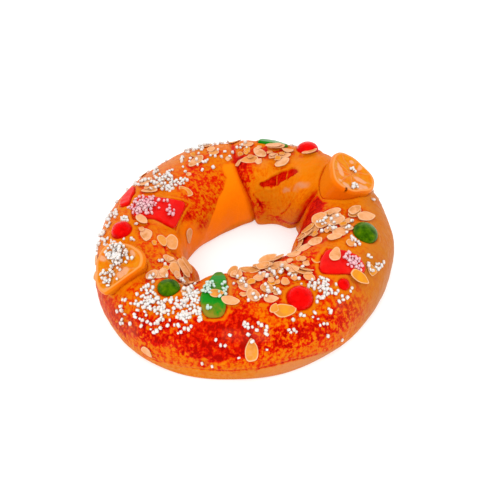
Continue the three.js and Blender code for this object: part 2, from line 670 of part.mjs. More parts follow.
// The seat on a fruit's own top, at x along and y across its outline.
function fruitSeat(fruit, x, y) {
  const height = topHeight(fruit, x, y);
  const point = fruit.place(x, y, height);
  const along = fruit.place(x + 1, y, height).sub(point).normalize();
  const across = fruit.place(x, y + 1, height).sub(point);
  const normal = along.clone().cross(across).normalize();
  return { point, along, across: normal.clone().cross(along), normal };
}

function sugarOn(fruit) {
  const solids = [];
  FRUIT_SUGAR.forEach(([name, middle, reach, count], index) => {
    const draw = draws(FRUIT_SEED + index);
    for (let k = 0; name === fruit.name && k < count; k += 1) {
      const [x, y] = middle.map((value, axis) => value + reach[axis] * (draw() + draw() - 1));
      if (shareOn(fruit, x, y) < FRUIT_EDGE) {
        solids.push(grainOn(fruitSeat(fruit, x, y), GRAIN_SIZE.largest, draw));
      }
    }
  });
  return solids;
}

function flakesOn(fruit) {
  const rows = FRUIT_FLAKES.filter(([name]) => name === fruit.name);
  return rows.map(([, at, turn, length]) => flakeOn(fruitSeat(fruit, ...at), turn, length, 0));
}

function joined(solid, pieces) {
  return pieces.reduce((whole, piece) => whole.add(piece), solid);
}

// ------------------------------------------------------------------------------ put it together
const cushion = breadCore(GAP);
SLICES.forEach(addSlice);
CHERRIES.forEach(addCherry);
STRIPS.forEach(addStrip);

const group = new THREE.Group();
group.position.set(...RING_CENTRE, 0);

const bread = joined(breadCore(0).subtract(splitCut()), [...breadFlakes(), ...breadSugar()]);
group.add(toMesh('roscon_bread', bread, 0xd9731a, ROUGHNESS.bread));

for (const fruit of fruits) {
  const solid = joined(fruit.solid, [...sugarOn(fruit), ...flakesOn(fruit)]);
  group.add(toMesh(fruit.name, solid, fruit.colour, fruit.roughness));
}

export default group;
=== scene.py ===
"""Roscon de reyes: a sweet bread ring with candied fruit, flaked almonds and pearl sugar.

Every place on the crust is named by two angles in degrees. The first is the angle round the ring,
from +X towards +Y. The second is the lean: 0 is the widest line of the outer wall, 90 the crown,
180 the widest line of the hole's wall, and -90 or 270 the middle of the flat base. Sizes are in
millimetres from the ring's centre until a mesh is made, which turns them to metres in the frame.
"""
import math

import bpy
import numpy as np
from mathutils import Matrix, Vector


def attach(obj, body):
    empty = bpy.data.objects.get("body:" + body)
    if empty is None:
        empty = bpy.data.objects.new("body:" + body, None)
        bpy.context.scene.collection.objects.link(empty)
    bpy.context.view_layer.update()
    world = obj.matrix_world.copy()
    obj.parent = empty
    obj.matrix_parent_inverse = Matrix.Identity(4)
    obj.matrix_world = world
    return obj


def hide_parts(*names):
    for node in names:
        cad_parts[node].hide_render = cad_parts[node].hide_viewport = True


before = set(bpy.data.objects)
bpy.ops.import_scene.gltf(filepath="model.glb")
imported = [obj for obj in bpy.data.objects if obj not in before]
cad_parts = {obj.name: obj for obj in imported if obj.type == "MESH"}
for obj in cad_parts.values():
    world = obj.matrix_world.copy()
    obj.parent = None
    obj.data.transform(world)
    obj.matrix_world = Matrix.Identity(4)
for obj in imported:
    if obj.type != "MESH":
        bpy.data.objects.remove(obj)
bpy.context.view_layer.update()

# ------------------------------------------------------------------------- the bread's dimensions
RIM_RADII = np.array([136, 141, 139, 138, 138, 135, 138, 144, 148, 142, 135.5, 133])  # every 30 degrees
HOLE_RADII = np.array([44, 59, 69, 53, 44, 46, 54, 59, 53, 39, 34, 42])
RING_CENTRE = np.array([-0.33, 2.7, 0.0])
LOAF_HEIGHT = 59.5
BULGE_SHARE = 0.3  # level of the widest line, as a share of the height
ROUNDNESS = 2.2  # superellipse exponent of the dome above that line
BASE_SHARE = 0.88  # half width of the flat base, as a share of the tube's
BASE_EDGE_LEAN = 44.43  # lean below the widest line where the flat base starts
LUMP_DEPTH = 0.9
SEAT_STEP = 0.6  # degrees each way over which the skin's slope is taken

LOBE_LEFT = (97, 82)  # angle of the fold at the crown and on the hole's wall
LOBE_RIGHT = (33, 47)
LOBE_TURNS = ((105, 90), (150, 60))  # lean where the left and the right fold turn, and for how long
LOBE_SHOULDER = 12
LOBE_RISE = (3, 9.5)  # at the crown and on the hole's wall
FOLD_STARTS = (40, 95)  # lean where the left and the right fold start
FOLD_FADE = (40, 250, 20)  # how far they ease in, the lean where they end and how far they ease out
FOLD_DEPTH = 2.5
FOLD_WIDTH = 2.2
VALLEY = {"angle": -126, "width": 7, "depth": 15, "lean": 80, "rise": 35}
HUMP = {"angle": 48, "lean": 90, "reach": (13, 30), "height": 5.5}  # dough risen beside the right slice
SPLIT = {"angle": 63.5, "lean": 138, "length": 41, "width": 9, "depth": 3.2, "turn": 31, "reach": 16}

# --------------------------------------------------------------------------------- the toppings
SLICE_RIM = [(0.6, -0.8), (0.86, 0.4), (0.95, 0), (1, -3.4)]  # share of the radius, height under the rise
SLICE_DEPTH = 12  # how far a slice's foot lies below its seat
SLICE_WAVE = 0.012  # how uneven a slice's edge is, as a share of its radius
SEGMENTS = 9
STRIP_PROFILE = [(0.6, 3.6), (0.93, 3.2), (1, 1.8), (0.97, -3)]
STRIP_ROUNDING = (0.2, 0.25, 0.25, 0.25)  # the share of its edges that each rounding cuts off a corner
CHERRY_EGG = 0.03  # how much fuller one side of a cherry is
CHERRY_WIDTH = 0.96  # its width, as a share of its length
CHERRY_BEND = 0.25  # how far it follows the crust
SINK = 3

# A slice is a rounded triangle whose corners stand out by a share at an angle, with a side cut off
# straight at an angle and a distance. Its walls taper to a foot, a share of its size. Blobs of pith
# lie on its flesh: place along and across, reach both ways, and turn. A pip shows at its place.
SLICES = [
    {"name": "orange_slice_right", "angle": 27.8, "lean": 86.2, "radius": 24, "rise": 14.8, "foot": 0.88,
     "facing": (0.457, -0.1, 0.884), "corners": (0.09, 7), "cut": (60, 30), "pip": (-19, 14),
     "blobs": [(3, 11, 7.5, 2.6, 0), (-15, 11, 4.5, 3, 40), (-16, -5, 6, 4.4, 100), (-6, -7, 6.5, 2.2, 65),
               (-9, 17, 2.2, 1.6, 0), (15, -7, 2.4, 1.6, 60), (9, -14, 5, 1.8, 130)]},
    {"name": "orange_slice_left", "angle": -149.7, "lean": 62.4, "radius": 24.3, "rise": 10.5, "foot": 0.64,
     "facing": (-0.42, -0.3, 0.856), "corners": (0.1, -60), "cut": (-5, 16.5),
     "blobs": [(9, 1, 6.5, 3.6, 80), (-18, -8, 5, 2, 30), (14, -18, 5, 3, 60), (0, 17, 4, 2, 0)]},
]
CHERRIES = [
    {"name": "red_cherry_front", "angle": -64.6, "lean": 67.8, "radius": 11.5, "rise": 9.5},
    {"name": "red_cherry_left", "angle": -171.8, "lean": 72.5, "radius": 9.6, "rise": 8},
    {"name": "red_cherry_back", "angle": 58.5, "lean": 76.5, "radius": 10.8, "rise": 8.5},
    {"name": "red_cherry_piece", "angle": -43, "lean": 57, "radius": 5.5, "rise": 4},
    {"name": "green_cherry_right", "angle": -8.8, "lean": 67.5, "radius": 12.2, "rise": 7.5},
    {"name": "green_cherry_front", "angle": -127, "lean": 83.5, "radius": 10, "rise": 6.5},
]
# A strip lies at its angle and lean, and its corners are places on the crust: angle and lean.
STRIPS = [
    {"name": "red_strip_left", "angle": 171, "lean": 103, "corners": [
        (181.5, 84), (180.2, 106), (182.3, 122), (181.9, 138.5), (151.6, 129.5), (157.5, 113.5),
        (161.4, 99), (163.5, 72)]},
    {"name": "red_strip_back", "angle": 163.5, "lean": 62, "corners": [
        (165, 53), (169.5, 58.5), (170, 63), (169.5, 72), (164, 69), (159.5, 67), (153.6, 56.5)]},
    {"name": "red_strip_right", "angle": -34.5, "lean": 74, "corners": [
        (-28.5, 50.5), (-25.4, 66), (-26.5, 80), (-31, 95), (-40, 92), (-46, 86), (-47.5, 79.5),
        (-38, 62.5), (-31.5, 49.5)]},
    {"name": "green_strip_front", "angle": -105.2, "lean": 92, "corners": [
        (-105, 61), (-99.5, 62.5), (-98.2, 70), (-99.5, 92), (-102.4, 109), (-107, 124), (-112, 128),
        (-111.2, 98), (-111.3, 84), (-108, 68.5)]},
    {"name": "green_strip_back", "angle": 76.5, "lean": 72, "corners": [
        (67.8, 79), (71.9, 69), (77.1, 58.5), (80.9, 57.8), (83.4, 67), (84.6, 77.5), (79, 80),
        (74.2, 81.4), (69.5, 83.5)]},
]

# Flaked almonds on the crust: angle, lean, turn from the ring's direction, length, tilt and tone,
# from 0, blanched, to 1, toasted amber.
FLAKES = [
    (-166, 99, 0, 16, 0, 0.2), (-161, 118, 5, 15, 4, 0.5), (-158, 128, 0, 20, 45, 0.4),
    (-135.5, 110, -22, 16, 10, 0.3), (-137, 89, 41, 15, 5, 0.1), (-118, 88, 26, 13, 3, 0.2),
    (171, 164, 62, 15, 0, 0.4), (-131, 129, -5, 20, -8, 0.5), (-99, 121, -70, 19, 40, 0.4),
    (-86, 121, -20, 20, 10, 0.3), (-67, 113, -3, 18, 4, 0.2), (-68, 126, 11, 19, 38, 0.3),
    (-81, 104, 35, 13, 6, 0.1), (-58, 94, -50, 12, 5, 0.4), (-52, 96, -62, 21, -32, 0.4),
    (-90, 93, -45, 15, 4, 0.2), (-78, 88, -43, 14, 6, 0.3), (-86, 84, -59, 15, 4, 0.1),
    (-78, 77, -21, 13, 3, 0.2), (-97, 79, -15, 16, 4, 0.2), (-73.5, 61, -15, 21, 10, 0.9),
    (-88, 26, 89, 20, 0, 0.8), (-124, 2, -37, 12, 0, 0.2), (6, 106, -61, 20, 8, 0.2),
    (-2, 99, -61, 17, 6, 0.1), (-8, 125, -67, 17, 10, 0.3), (-6, 137, -62, 19, -12, 0.4),
    (-32, 121, -39, 16, 8, 0.2), (-31, 136, 22, 22, -10, 0.4), (-12, 92, -50, 17, 6, 0.3),
    (-18, 96, -56, 14, 4, 0.2), (5, 81, -43, 16, 5, 0.5), (3, 68, -64, 19, 5, 0.3),
    (-26, 41, -89, 14, 4, 0.6), (88, 106, -3, 18, 0, 0.6), (82, 96, -56, 17, 8, 0.2),
    (74, 87, 15, 18, 4, 0.2), (67, 102, 34, 13, 5, 0.1), (66, 116, 44, 15, 5, 0.0),
    (55, 88, 60, 16, 10, 0.2), (96, 53, -39, 17, 4, 0.3), (90, 80, -3, 14, 5, 0.2),
    (121, 87, 19, 20, 3, 0.3), (156, 82, -54, 15, 5, 0.1), (150, 67, 0, 15, 3, 0.2),
    (109, 83, 4, 12, 4, 0.5), (110, 58, 27, 16, 5, 0.3), (-177, 93, 44, 14, 3, 0.1),
    (144, 114, -82, 15, 2, 0.5), (140, 34, 30, 16, 4, 0.3), (72, 30, -40, 16, 4, 0.3),
    (30, 30, 20, 15, 4, 0.4),
]
# Smaller flakes, and flakes that lie against or over those, in the same form.
MORE_FLAKES = [
    (-143, 115, 20, 15, 4, 0.3), (-137, 121, 0, 9, 4, 0.4), (-135, 93, -30, 13, 8, 0.1),
    (-138, 84, 100, 12, 6, 0.1), (-135, 124, 5, 18, -5, 0.3), (-127, 118, -15, 15, 0, 0.4),
    (-67, 90, 69, 11, 6, 0.3), (-77, 66, 20, 12, 14, 0.7), (-54.5, 92, -62, 19, -28, 0.5),
    (-54, 83, -69, 11, 5, 0.3), (-59, 97, -48, 12, 10, 0.2), (-8, 88, 76, 13, 8, 0.1),
    (-19, 79, -59, 10, 5, 0.4), (-35, 51, -69, 19, 8, 0.9), (75, 88, 15, 16, 12, 0.3),
    (74, 104, 22, 12, 6, 0.1), (67, 91, -10, 12, 8, 0.2), (6, 82, -43, 15, 14, 0.2),
    (-4, 112, -60, 15, 18, 0.3), (-26, 112, -45, 13, 14, 0.2), (-44, 122, -20, 13, 14, 0.3),
    (-96, 112, -50, 13, 16, 0.3), (-75, 119, -5, 14, 18, 0.2), (2, 118, -75, 14, 26, 0.3),
    (-24, 139, 18, 20, -14, 0.5), (-13, 134, -60, 17, -16, 0.3), (-4, 131, -64, 16, -14, 0.5),
    (-41, 95, 40, 11, 8, 0.8), (-72, 128, 4, 18, -6, 0.4), (-60, 124, 8, 16, -8, 0.3),
    (-137, 133, -4, 17, -10, 0.5), (-121, 110, -12, 13, 4, 0.3), (200, 20, 40, 15, 4, 0.3),
    (118, 20, 70, 14, 4, 0.4), (48, 16, -20, 15, 4, 0.3), (-168, 22, 30, 13, 3, 0.3),
]

# Broken bits of flake between them: the angles and leans a patch reaches over, and how many.
SHARD_PATCHES = [
    ((-100, -60), (82, 124), 26), ((-22, 6), (80, 122), 18), ((58, 96), (80, 112), 14),
    ((-146, -120), (84, 118), 10), ((-62, -44), (84, 110), 8), ((100, 160), (70, 100), 8),
    ((-180, -150), (84, 124), 6),
]

# Pearl sugar on the crust: the angles and leans that a patch reaches over, and its grains.
SUGAR_PATCHES = [
    ((-140, -130), (14, 50), 16), ((-140, -128), (50, 84), 38), ((-130, -119), (30, 58), 16),
    ((-129, -118), (56, 88), 44), ((-119, -109), (40, 62), 14), ((-118, -108), (62, 88), 40),
    ((-109, -103), (60, 88), 22), ((-146, -138), (68, 84), 6), ((-146, -138), (94, 110), 4),
    ((-134, -118), (88, 112), 4), ((-108, -102), (96, 122), 7), ((-101, -93), (24, 60), 4),
    ((-100, -94), (94, 106), 4), ((-91, -80), (36, 60), 13), ((-92, -78), (72, 104), 10),
    ((-80, -68), (76, 112), 13), ((-72, -60), (34, 58), 10), ((-71, -61), (94, 106), 7),
    ((-62, -50), (30, 58), 10), ((-61, -49), (58, 80), 34), ((-60, -52), (84, 96), 3),
    ((-51, -41), (42, 62), 20), ((-50, -42), (62, 80), 8), ((-31, -21), (36, 66), 14),
    ((-22, -12), (32, 46), 4), ((-21, -11), (70, 88), 13), ((-13, 2), (74, 96), 9),
    ((-12, 1), (96, 114), 16), ((-172, -161), (46, 84), 30), ((178, 188), (14, 52), 14),
    ((178, 188), (70, 108), 20), ((168, 180), (38, 60), 14), ((168, 180), (74, 106), 30),
    ((161, 170), (70, 96), 22), ((162, 170), (98, 122), 10), ((149, 162), (46, 66), 16),
    ((148, 160), (82, 98), 12), ((139, 151), (62, 84), 18), ((139, 150), (82, 102), 22),
    ((129, 140), (84, 106), 6), ((129, 140), (46, 60), 3), ((109, 121), (48, 70), 15),
    ((110, 128), (70, 104), 15), ((98, 110), (46, 60), 6), ((100, 110), (80, 100), 5),
    ((89, 99), (70, 92), 6), ((114, 165), (8, 40), 18), ((15, 110), (8, 54), 22),
    ((-105, -50), (-4, 30), 6),
]
# Smaller grains between those.
MORE_SUGAR_PATCHES = [
    ((-141, -122), (50, 84), 26), ((-128, -106), (58, 86), 44), ((-136, -112), (34, 58), 14),
    ((139, 180), (62, 104), 26), ((-61, -49), (58, 82), 10), ((-172, -160), (46, 84), 10),
]
GRAIN_SPACING = 2.5
CLUMP_CHANCE = 0.25  # chance that a grain lies against the one before it
CLUMP_STEP = (1.6, 3.4)  # how far it then lies from it, in degrees of angle and of lean
GRAIN_SIZE = (2.7, 3.9)
FRUIT_GRAIN_SIZE = (2.5, 3.4)
GRAIN_SEAT = 0.35  # height of a grain's middle over fruit or a flake, as a share of its size
GRAIN_SINK = 0.3  # the same on the crust, which it sinks into a little
PILE_STEP = 1.1  # how far a grain climbs at a time off the ones it touches
PILE_GAP = 2.3  # how close their middles may be
HEAP_HEIGHTS = {"orange_slice_left": 6, "red_strip_left": 4.2}  # a heap's most, on top of the fruit
HEAP_HEIGHT = 2.4  # on the other fruits

# Sugar on fruit: the fruit, the heap's middle and reach along and across it, and its grains.
FRUIT_SUGAR = [
    ("orange_slice_left", (-7, 5), (15, 11), 12), ("red_strip_left", (2, -10), (12, 10), 10),
    ("red_strip_right", (8, -10), (6, 12), 4), ("green_strip_front", (-6, 0), (5, 7), 5),
    ("orange_slice_right", (-14, 3), (4, 4), 2),
]
MORE_FRUIT_SUGAR = [
    ("orange_slice_left", (-7, 5), (15, 11), 90), ("orange_slice_left", (4, -13), (11, 10), 22),
    ("red_strip_left", (2, -10), (13, 10), 60), ("red_strip_left", (-2, 10), (10, 9), 11),
    ("red_strip_right", (7, -8), (9, 14), 24), ("green_strip_front", (-6, -1), (5, 8), 12),
    ("green_strip_front", (7, -3), (4, 8), 9), ("green_strip_front", (0, -22), (2, 4), 3),
    ("orange_slice_right", (-14, 3), (4, 5), 5), ("orange_slice_right", (4, -3), (5, 3), 4),
]
# How far the sugar on a fruit takes on the fruit's colour, partly a stain of its syrup and partly painted
# reflected light from the fruit: red above 0 and green below.
SYRUP_AND_REFLECTION = {"red_strip_left": 1, "red_strip_right": 1, "green_strip_front": -1}
# Flakes that lie on fruit: the fruit, place along and across it, turn, length and tone.
FRUIT_FLAKES = [
    ("green_strip_front", (2, -7), 0, 12, 0.8),
    ("red_strip_right", (2, 9), 22, 17, 0.2),
]


# ---------------------------------------------------------------------------------- small helpers
def smooth(t):
    """0 up to 0, 1 from 1 on, and eased between."""
    t = np.clip(t, 0, 1)
    return t * t * (3 - 2 * t)


def between(value, start, rise, end, fall):
    """1 from the start to the end, eased in over the rise and out over the fall."""
    return smooth((value - start) / rise) * smooth((end - value) / fall)


def bell(t):
    """1 at 0, falling away on both sides."""
    return np.exp(-(t ** 2))


def blend(values, target, weight):
    """Values brought towards a target, as far as the weight says."""
    return values + (target - values) * weight


def turned(angle):
    """An angle in degrees, brought to between -180 and 180."""
    return (np.asarray(angle, float) + 180) % 360 - 180


def spun(x, y, turn):
    """A place turned by an angle in degrees."""
    c, s = math.cos(math.radians(turn)), math.sin(math.radians(turn))
    return x * c - y * s, x * s + y * c


def draws(seed):
    """The same run of draws for the same seed: the minimal standard generator."""
    state = seed

    def draw():
        nonlocal state
        state = state * 16807 % 2147483647
        return state / 2147483647

    return draw


def unit(vectors):
    return vectors / np.maximum(np.linalg.norm(vectors, axis=-1, keepdims=True), 1e-9)


def cloud(points, size, seed):
    """Smooth noise from -1 to 1 over points in mm, whose lumps are about this size."""
    cell = np.asarray(points, float) / size
    base = np.floor(cell).astype(np.int64)
    part = cell - base
    part = part * part * (3 - 2 * part)
    total = np.zeros(cell.shape[:-1])
    for corner in np.ndindex(2, 2, 2):
        key = base + np.array(corner)
        mixed = key[..., 0] * 73856093 ^ key[..., 1] * 19349663 ^ key[..., 2] * 83492791 ^ seed * 40503
        mixed = (mixed ^ mixed >> 13) * 1274126177 & 0x7FFFFFFF
        value = (mixed ^ mixed >> 15) % 65536 / 32767.5 - 1
        weight = np.prod(np.where(corner, part, 1 - part), axis=-1)
        total += value * weight
    return total


def clouds(points, layers, seed=0):
    """Noise in layers, each given by its height, the size of its lumps and what it adds to the seed."""
    return sum(height * cloud(points, size, seed + step) for height, size, step in layers)


# ------------------------------------------------------------------------------- the bread's form
def radius_at(radii, angle):
    """A smooth closed curve through radii given at even steps round the ring."""
    place = np.asarray(angle, float) % 360 / 360 * len(radii)
    step = np.floor(place).astype(int)
    f = place - step
    a, b, c, d = (radii[(step + k) % len(radii)] for k in (-1, 0, 1, 2))
    return b + 0.5 * f * (c - a + f * (2 * a - 5 * b + 4 * c - d + f * (3 * (b - c) + d - a)))


def fold_angles(lean):
    """The angles of the left and the right fold at a lean."""
    return tuple(
        blend(crown, wall, smooth((lean - start) / length))
        for (crown, wall), (start, length) in zip((LOBE_LEFT, LOBE_RIGHT), LOBE_TURNS)
    )


def swell(angle, lean):
    """How far the skin stands out of, or sinks into, the plain ring."""
    at = turned(angle)
    left, right = fold_angles(lean)
    inside = np.minimum(left - at, at - right)
    share = np.clip(inside / LOBE_SHOULDER, 0, 1)
    rise = blend(*LOBE_RISE, smooth((lean - 90) / 60))
    lobe = rise * np.sqrt(1 - (1 - share) ** 2)
    groove = FOLD_DEPTH * bell(inside / FOLD_WIDTH)
    start = blend(FOLD_STARTS[1], FOLD_STARTS[0], smooth((at - right) / (left - right)))
    fade = between(lean, start, *FOLD_FADE)
    valley = VALLEY["depth"] * bell(turned(at - VALLEY["angle"]) / VALLEY["width"])
    valley = valley * smooth((lean - VALLEY["lean"]) / VALLEY["rise"])
    a, b = np.radians(at), np.radians(lean)
    lumps = np.sin(5 * a + 1.3) * np.cos(2 * b + 0.4) + 0.7 * np.sin(11 * a + 0.5) * np.cos(3 * b)
    hump = HUMP["height"] * bell(turned(at - HUMP["angle"]) / HUMP["reach"][0])
    hump = hump * bell((lean - HUMP["lean"]) / HUMP["reach"][1])
    return (lobe - groove) * fade - valley + hump + LUMP_DEPTH * lumps


def crust(angle, lean):
    """The point of the plain crust at an angle and a lean."""
    angle, lean = np.broadcast_arrays(np.asarray(angle, float), np.asarray(lean, float))
    outer, inner = radius_at(RIM_RADII, angle), radius_at(HOLE_RADII, angle)
    middle, half = (outer + inner) / 2, (outer - inner) / 2
    bulge = LOAF_HEIGHT * BULGE_SHARE
    c, s = np.cos(np.radians(lean)), np.sin(np.radians(lean))
    base_sine = math.sin(math.radians(BASE_EDGE_LEAN))
    down = np.maximum(0, -s) / base_sine
    under = (1 + s) / (1 - base_sine)  # from 1 at the base's edge to 0 at its middle
    foot = BASE_SHARE + (1 - BASE_SHARE) * np.sqrt(np.clip(1 - down * down, 0, 1))
    width = np.where(s < 0, np.where(down < 1, foot, BASE_SHARE * under), np.abs(c) ** (2 / ROUNDNESS))
    across = width * half * np.sign(c)
    dome = (LOAF_HEIGHT - bulge) * np.maximum(0, s) ** (2 / ROUNDNESS)
    up = np.where(s < 0, -bulge * np.minimum(1, down), dome)
    reach = np.maximum(np.hypot(across, up), 1e-6)
    lift = swell(angle, lean) * np.where(down < 1, 1, under ** 2)
    radius = middle + across + lift * across / reach
    height = bulge + up + lift * np.maximum(0, up) / reach
    a = np.radians(angle)
    return np.stack([radius * np.cos(a), radius * np.sin(a), height], axis=-1)


def seat_at(angle, lean):
    """Where something lies: the point, the ring's way there, the way across it, and the normal."""
    angle, lean = np.asarray(angle, float), np.asarray(lean, float)
    along = crust(angle + SEAT_STEP, lean) - crust(angle - SEAT_STEP, lean)
    across = crust(angle, lean + SEAT_STEP) - crust(angle, lean - SEAT_STEP)
    per_degree = tuple(np.linalg.norm(way, axis=-1) / (2 * SEAT_STEP) for way in (along, across))
    normal = unit(np.cross(along, across))
    along = unit(along)
    return {
        "angle": angle, "lean": lean, "point": crust(angle, lean), "along": along,
        "across": np.cross(normal, along), "normal": normal, "per_degree": per_degree,
    }


def seen_from(seat, points, turn=0):
    """Points' places along and across a seat turned by this many degrees, and their heights over it."""
    away = points - seat["point"]
    u, v, height = (away @ seat[way] for way in ("along", "across", "normal"))
    return *spun(u, v, -turn), height


def draped(seat, x, y, h):
    """A point over the crust, x along the ring and y across it from a seat, h above the skin."""
    spot = seat_at(seat["angle"] + x / seat["per_degree"][0], seat["lean"] + y / seat["per_degree"][1])
    return spot["point"] + spot["normal"] * np.asarray(h)[..., None]


def laid(seat, x, y, h, bend=0):
    """The same on the flat plane that touches the crust at the seat, or on the way to draped."""
    columns = (np.asarray(v)[..., None] for v in (x, y, h))
    point = seat["point"] + sum(v * seat[way] for v, way in zip(columns, ("along", "across", "normal")))
    return blend(point, draped(seat, x, y, h), bend) if bend else point


# ---------------------------------------------------------------------------------- candied fruit
def slice_outline(spec, phi):
    (share, corner_at), (cut_at, cut) = spec["corners"], spec["cut"]
    wave = share * np.cos(3 * (phi - math.radians(corner_at))) + SLICE_WAVE * np.sin(7 * phi)
    r = spec["radius"] * (1 + wave)
    r = np.minimum(r, cut / np.maximum(np.cos(phi - math.radians(cut_at)), 0.3))
    return r * np.cos(phi), r * np.sin(phi)


def slice_profile(spec):
    return [(share, spec["rise"] + under) for share, under in SLICE_RIM] + [(spec["foot"], -SLICE_DEPTH)]


def cherry_outline(spec, phi):
    x = spec["radius"] * np.cos(phi) * (1 + CHERRY_EGG * np.sin(phi))
    return x, spec["radius"] * CHERRY_WIDTH * np.sin(phi)


def cherry_profile(spec):
    leans = [math.radians(lean) for lean in range(88, 3, -4)]
    dome = [(math.cos(lean), spec["rise"] * math.sin(lean)) for lean in leans]
    return dome + [(1, 0.4), (0.97, -SINK)]


def strip_corners(spec):
    """A strip's corners, in mm along the ring and across it from its seat."""
    away = np.array(spec["corners"]) - np.array([spec["angle"], spec["lean"]])
    return away * np.array(seat_at(spec["angle"], spec["lean"])["per_degree"])


def cut_corners(points, share):
    """A closed line whose every corner is cut off at this share of its edges."""
    beside = np.roll(points, -1, axis=0)
    ends = np.stack([points * (1 - share) + beside * share, points * share + beside * (1 - share)], axis=1)
    return ends.reshape(-1, 2)


def lengths_along(line):
    """The way gone along a line at each of its points."""
    return np.concatenate([[0], np.cumsum(np.linalg.norm(np.diff(line, axis=0), axis=1))])


def strip_outline(spec, phi):
    """The rounded corners' line, evenly stepped as its angle turns with phi."""
    line = strip_corners(spec)
    for share in STRIP_ROUNDING:
        line = cut_corners(line, share)
    line = np.concatenate([line, line[:1]])
    way = lengths_along(line)
    at = phi / (2 * math.pi) * way[-1]
    return np.interp(at, way, line[:, 0]), np.interp(at, way, line[:, 1])


PROFILE_RADIUS = 24  # what a share of 1 weighs against a height in mm
PROFILE_STEPS = 6  # steps of the smoothed line for each ring kept
PROFILE_ROUNDS = 8


def rounded_profile(profile, count):
    """A smooth run of [share, height] pairs from the middle of the top over the rim."""
    knots = np.array([(0, profile[0][1])] + profile, float)
    way = lengths_along(knots * np.array([PROFILE_RADIUS, 1]))
    even = np.linspace(0, way[-1], count * PROFILE_STEPS)
    line = np.stack([np.interp(even, way, knots[:, k]) for k in (0, 1)], axis=1)
    for _ in range(PROFILE_ROUNDS):
        line[1:-1] = (line[:-2] + 2 * line[1:-1] + line[2:]) / 4
    return line[np.linspace(1, len(line) - 1, count).astype(int)]


def add_fruit(spec, kind, half, outline, profile, bend):
    """A fruit's seat and shape. half is its reach along and across, bend how far it follows the crust."""
    seat = seat_at(spec["angle"], spec["lean"])
    if "facing" in spec:
        tip = Vector(seat["normal"]).rotation_difference(Vector(spec["facing"]).normalized()).to_matrix()
        for way in ("along", "across", "normal"):
            seat[way] = np.array(tip @ Vector(seat[way]))
    return {
        "name": spec["name"], "kind": kind, "seat": seat, "half": half, "spec": spec,
        "outline": outline, "profile": profile, "bend": bend,
    }


fruits = []
for spec in SLICES:
    fruits.append(add_fruit(spec, "slice", (spec["radius"],) * 2, slice_outline, slice_profile(spec), 0))
for spec in CHERRIES:
    half = (spec["radius"],) * 2
    fruits.append(add_fruit(spec, "cherry", half, cherry_outline, cherry_profile(spec), CHERRY_BEND))
for spec in STRIPS:
    half = tuple(np.ptp(strip_corners(spec), axis=0) / 2)
    fruits.append(add_fruit(spec, "strip", half, strip_outline, STRIP_PROFILE, 1))
fruit_named = {fruit["name"]: fruit for fruit in fruits}


CLEAR_SHARE = 1.12  # a point is clear of a fruit past this share of its outline


def share_of(fruit, points, margin):
    """A point's place in a fruit's own outline: under 1 is on the fruit."""
    x, y, depth = seen_from(fruit["seat"], points)
    bent = np.hypot(x, depth * 0.55)
    return np.hypot(bent / (fruit["half"][0] + margin), y / (fruit["half"][1] + margin))


def clear_of_fruit(point, margin):
    return all(share_of(fruit, point, margin) > CLEAR_SHARE for fruit in fruits)


def line_distance(points, corners):
    """The distance from points to a line through corners."""
    nearest = np.full(points.shape[:-1], np.inf)
    for start, end in zip(corners[:-1], corners[1:]):
        run = end - start
        t = np.clip((points - start) @ run / (run @ run), 0, 1)
        nearest = np.minimum(nearest, np.linalg.norm(points - start - t[..., None] * run, axis=-1))
    return nearest


def strip_edge_distance(fruit, angle, lean):
    """How far, in mm, a place is outside a strip's corners, and negative inside them."""
    seat = fruit["seat"]
    x = turned(angle - seat["angle"]) * seat["per_degree"][0]
    y = (lean - seat["lean"]) * seat["per_degree"][1]
    place = np.stack([x, y], axis=-1)
    corners = strip_corners(fruit["spec"])
    inside = np.zeros(x.shape, bool)
    for start, end in zip(corners, np.roll(corners, -1, axis=0)):
        run = end - start
        crosses = (start[1] > y) != (end[1] > y)
        inside ^= crosses & (x < start[0] + run[0] * (y - start[1]) / (run[1] or 1))
    nearest = line_distance(place, np.concatenate([corners, corners[:1]]))
    return np.where(inside, -nearest, nearest)


def edge_distance(fruit, angle, lean, points):
    """About how far, in mm, a point is outside a fruit's outline, and negative inside it."""
    if fruit["kind"] == "strip":
        return strip_edge_distance(fruit, angle, lean)
    x, y, depth = seen_from(fruit["seat"], points)
    if fruit["kind"] == "cherry":
        x = np.sign(x) * np.hypot(x, depth * 0.5)
        y = np.sign(y) * np.hypot(y, depth * 0.5)
    rim = np.hypot(*fruit["outline"](fruit["spec"], np.arctan2(y, x)))
    if fruit["kind"] == "cherry":
        return np.hypot(x, y) - rim
    (wall_share, wall_top), (foot_share, foot) = fruit["profile"][-2:]
    rim = rim * np.interp(depth, (foot, wall_top), (foot_share, wall_share))
    return np.hypot(x, y) - rim + np.maximum(0, foot - depth)


# ----------------------------------------------------------------------------------------- meshes
def make_piece(name, points, faces, marks, material=None):
    """A mesh object from points in mm from the ring's centre, with a number at each point by name."""
    mesh = bpy.data.meshes.new(name)
    metres = (np.asarray(points) + RING_CENTRE) / 1000
    corners = faces[faces >= 0]
    sizes = (faces >= 0).sum(axis=1)
    mesh.vertices.add(len(metres))
    mesh.vertices.foreach_set("co", metres.ravel())
    mesh.loops.add(len(corners))
    mesh.loops.foreach_set("vertex_index", corners.astype(np.int32))
    mesh.polygons.add(len(sizes))
    mesh.polygons.foreach_set("loop_start", (np.cumsum(sizes) - sizes).astype(np.int32))
    mesh.update(calc_edges=True)
    mesh.validate()
    mesh.shade_smooth()
    for label, values in marks.items():
        layer = mesh.attributes.new(label, "FLOAT", "POINT")
        layer.data.foreach_set("value", np.asarray(values, np.float32))
    if material:
        mesh.materials.append(material)
    piece = bpy.data.objects.new(name, mesh)
    bpy.context.scene.collection.objects.link(piece)
    return piece


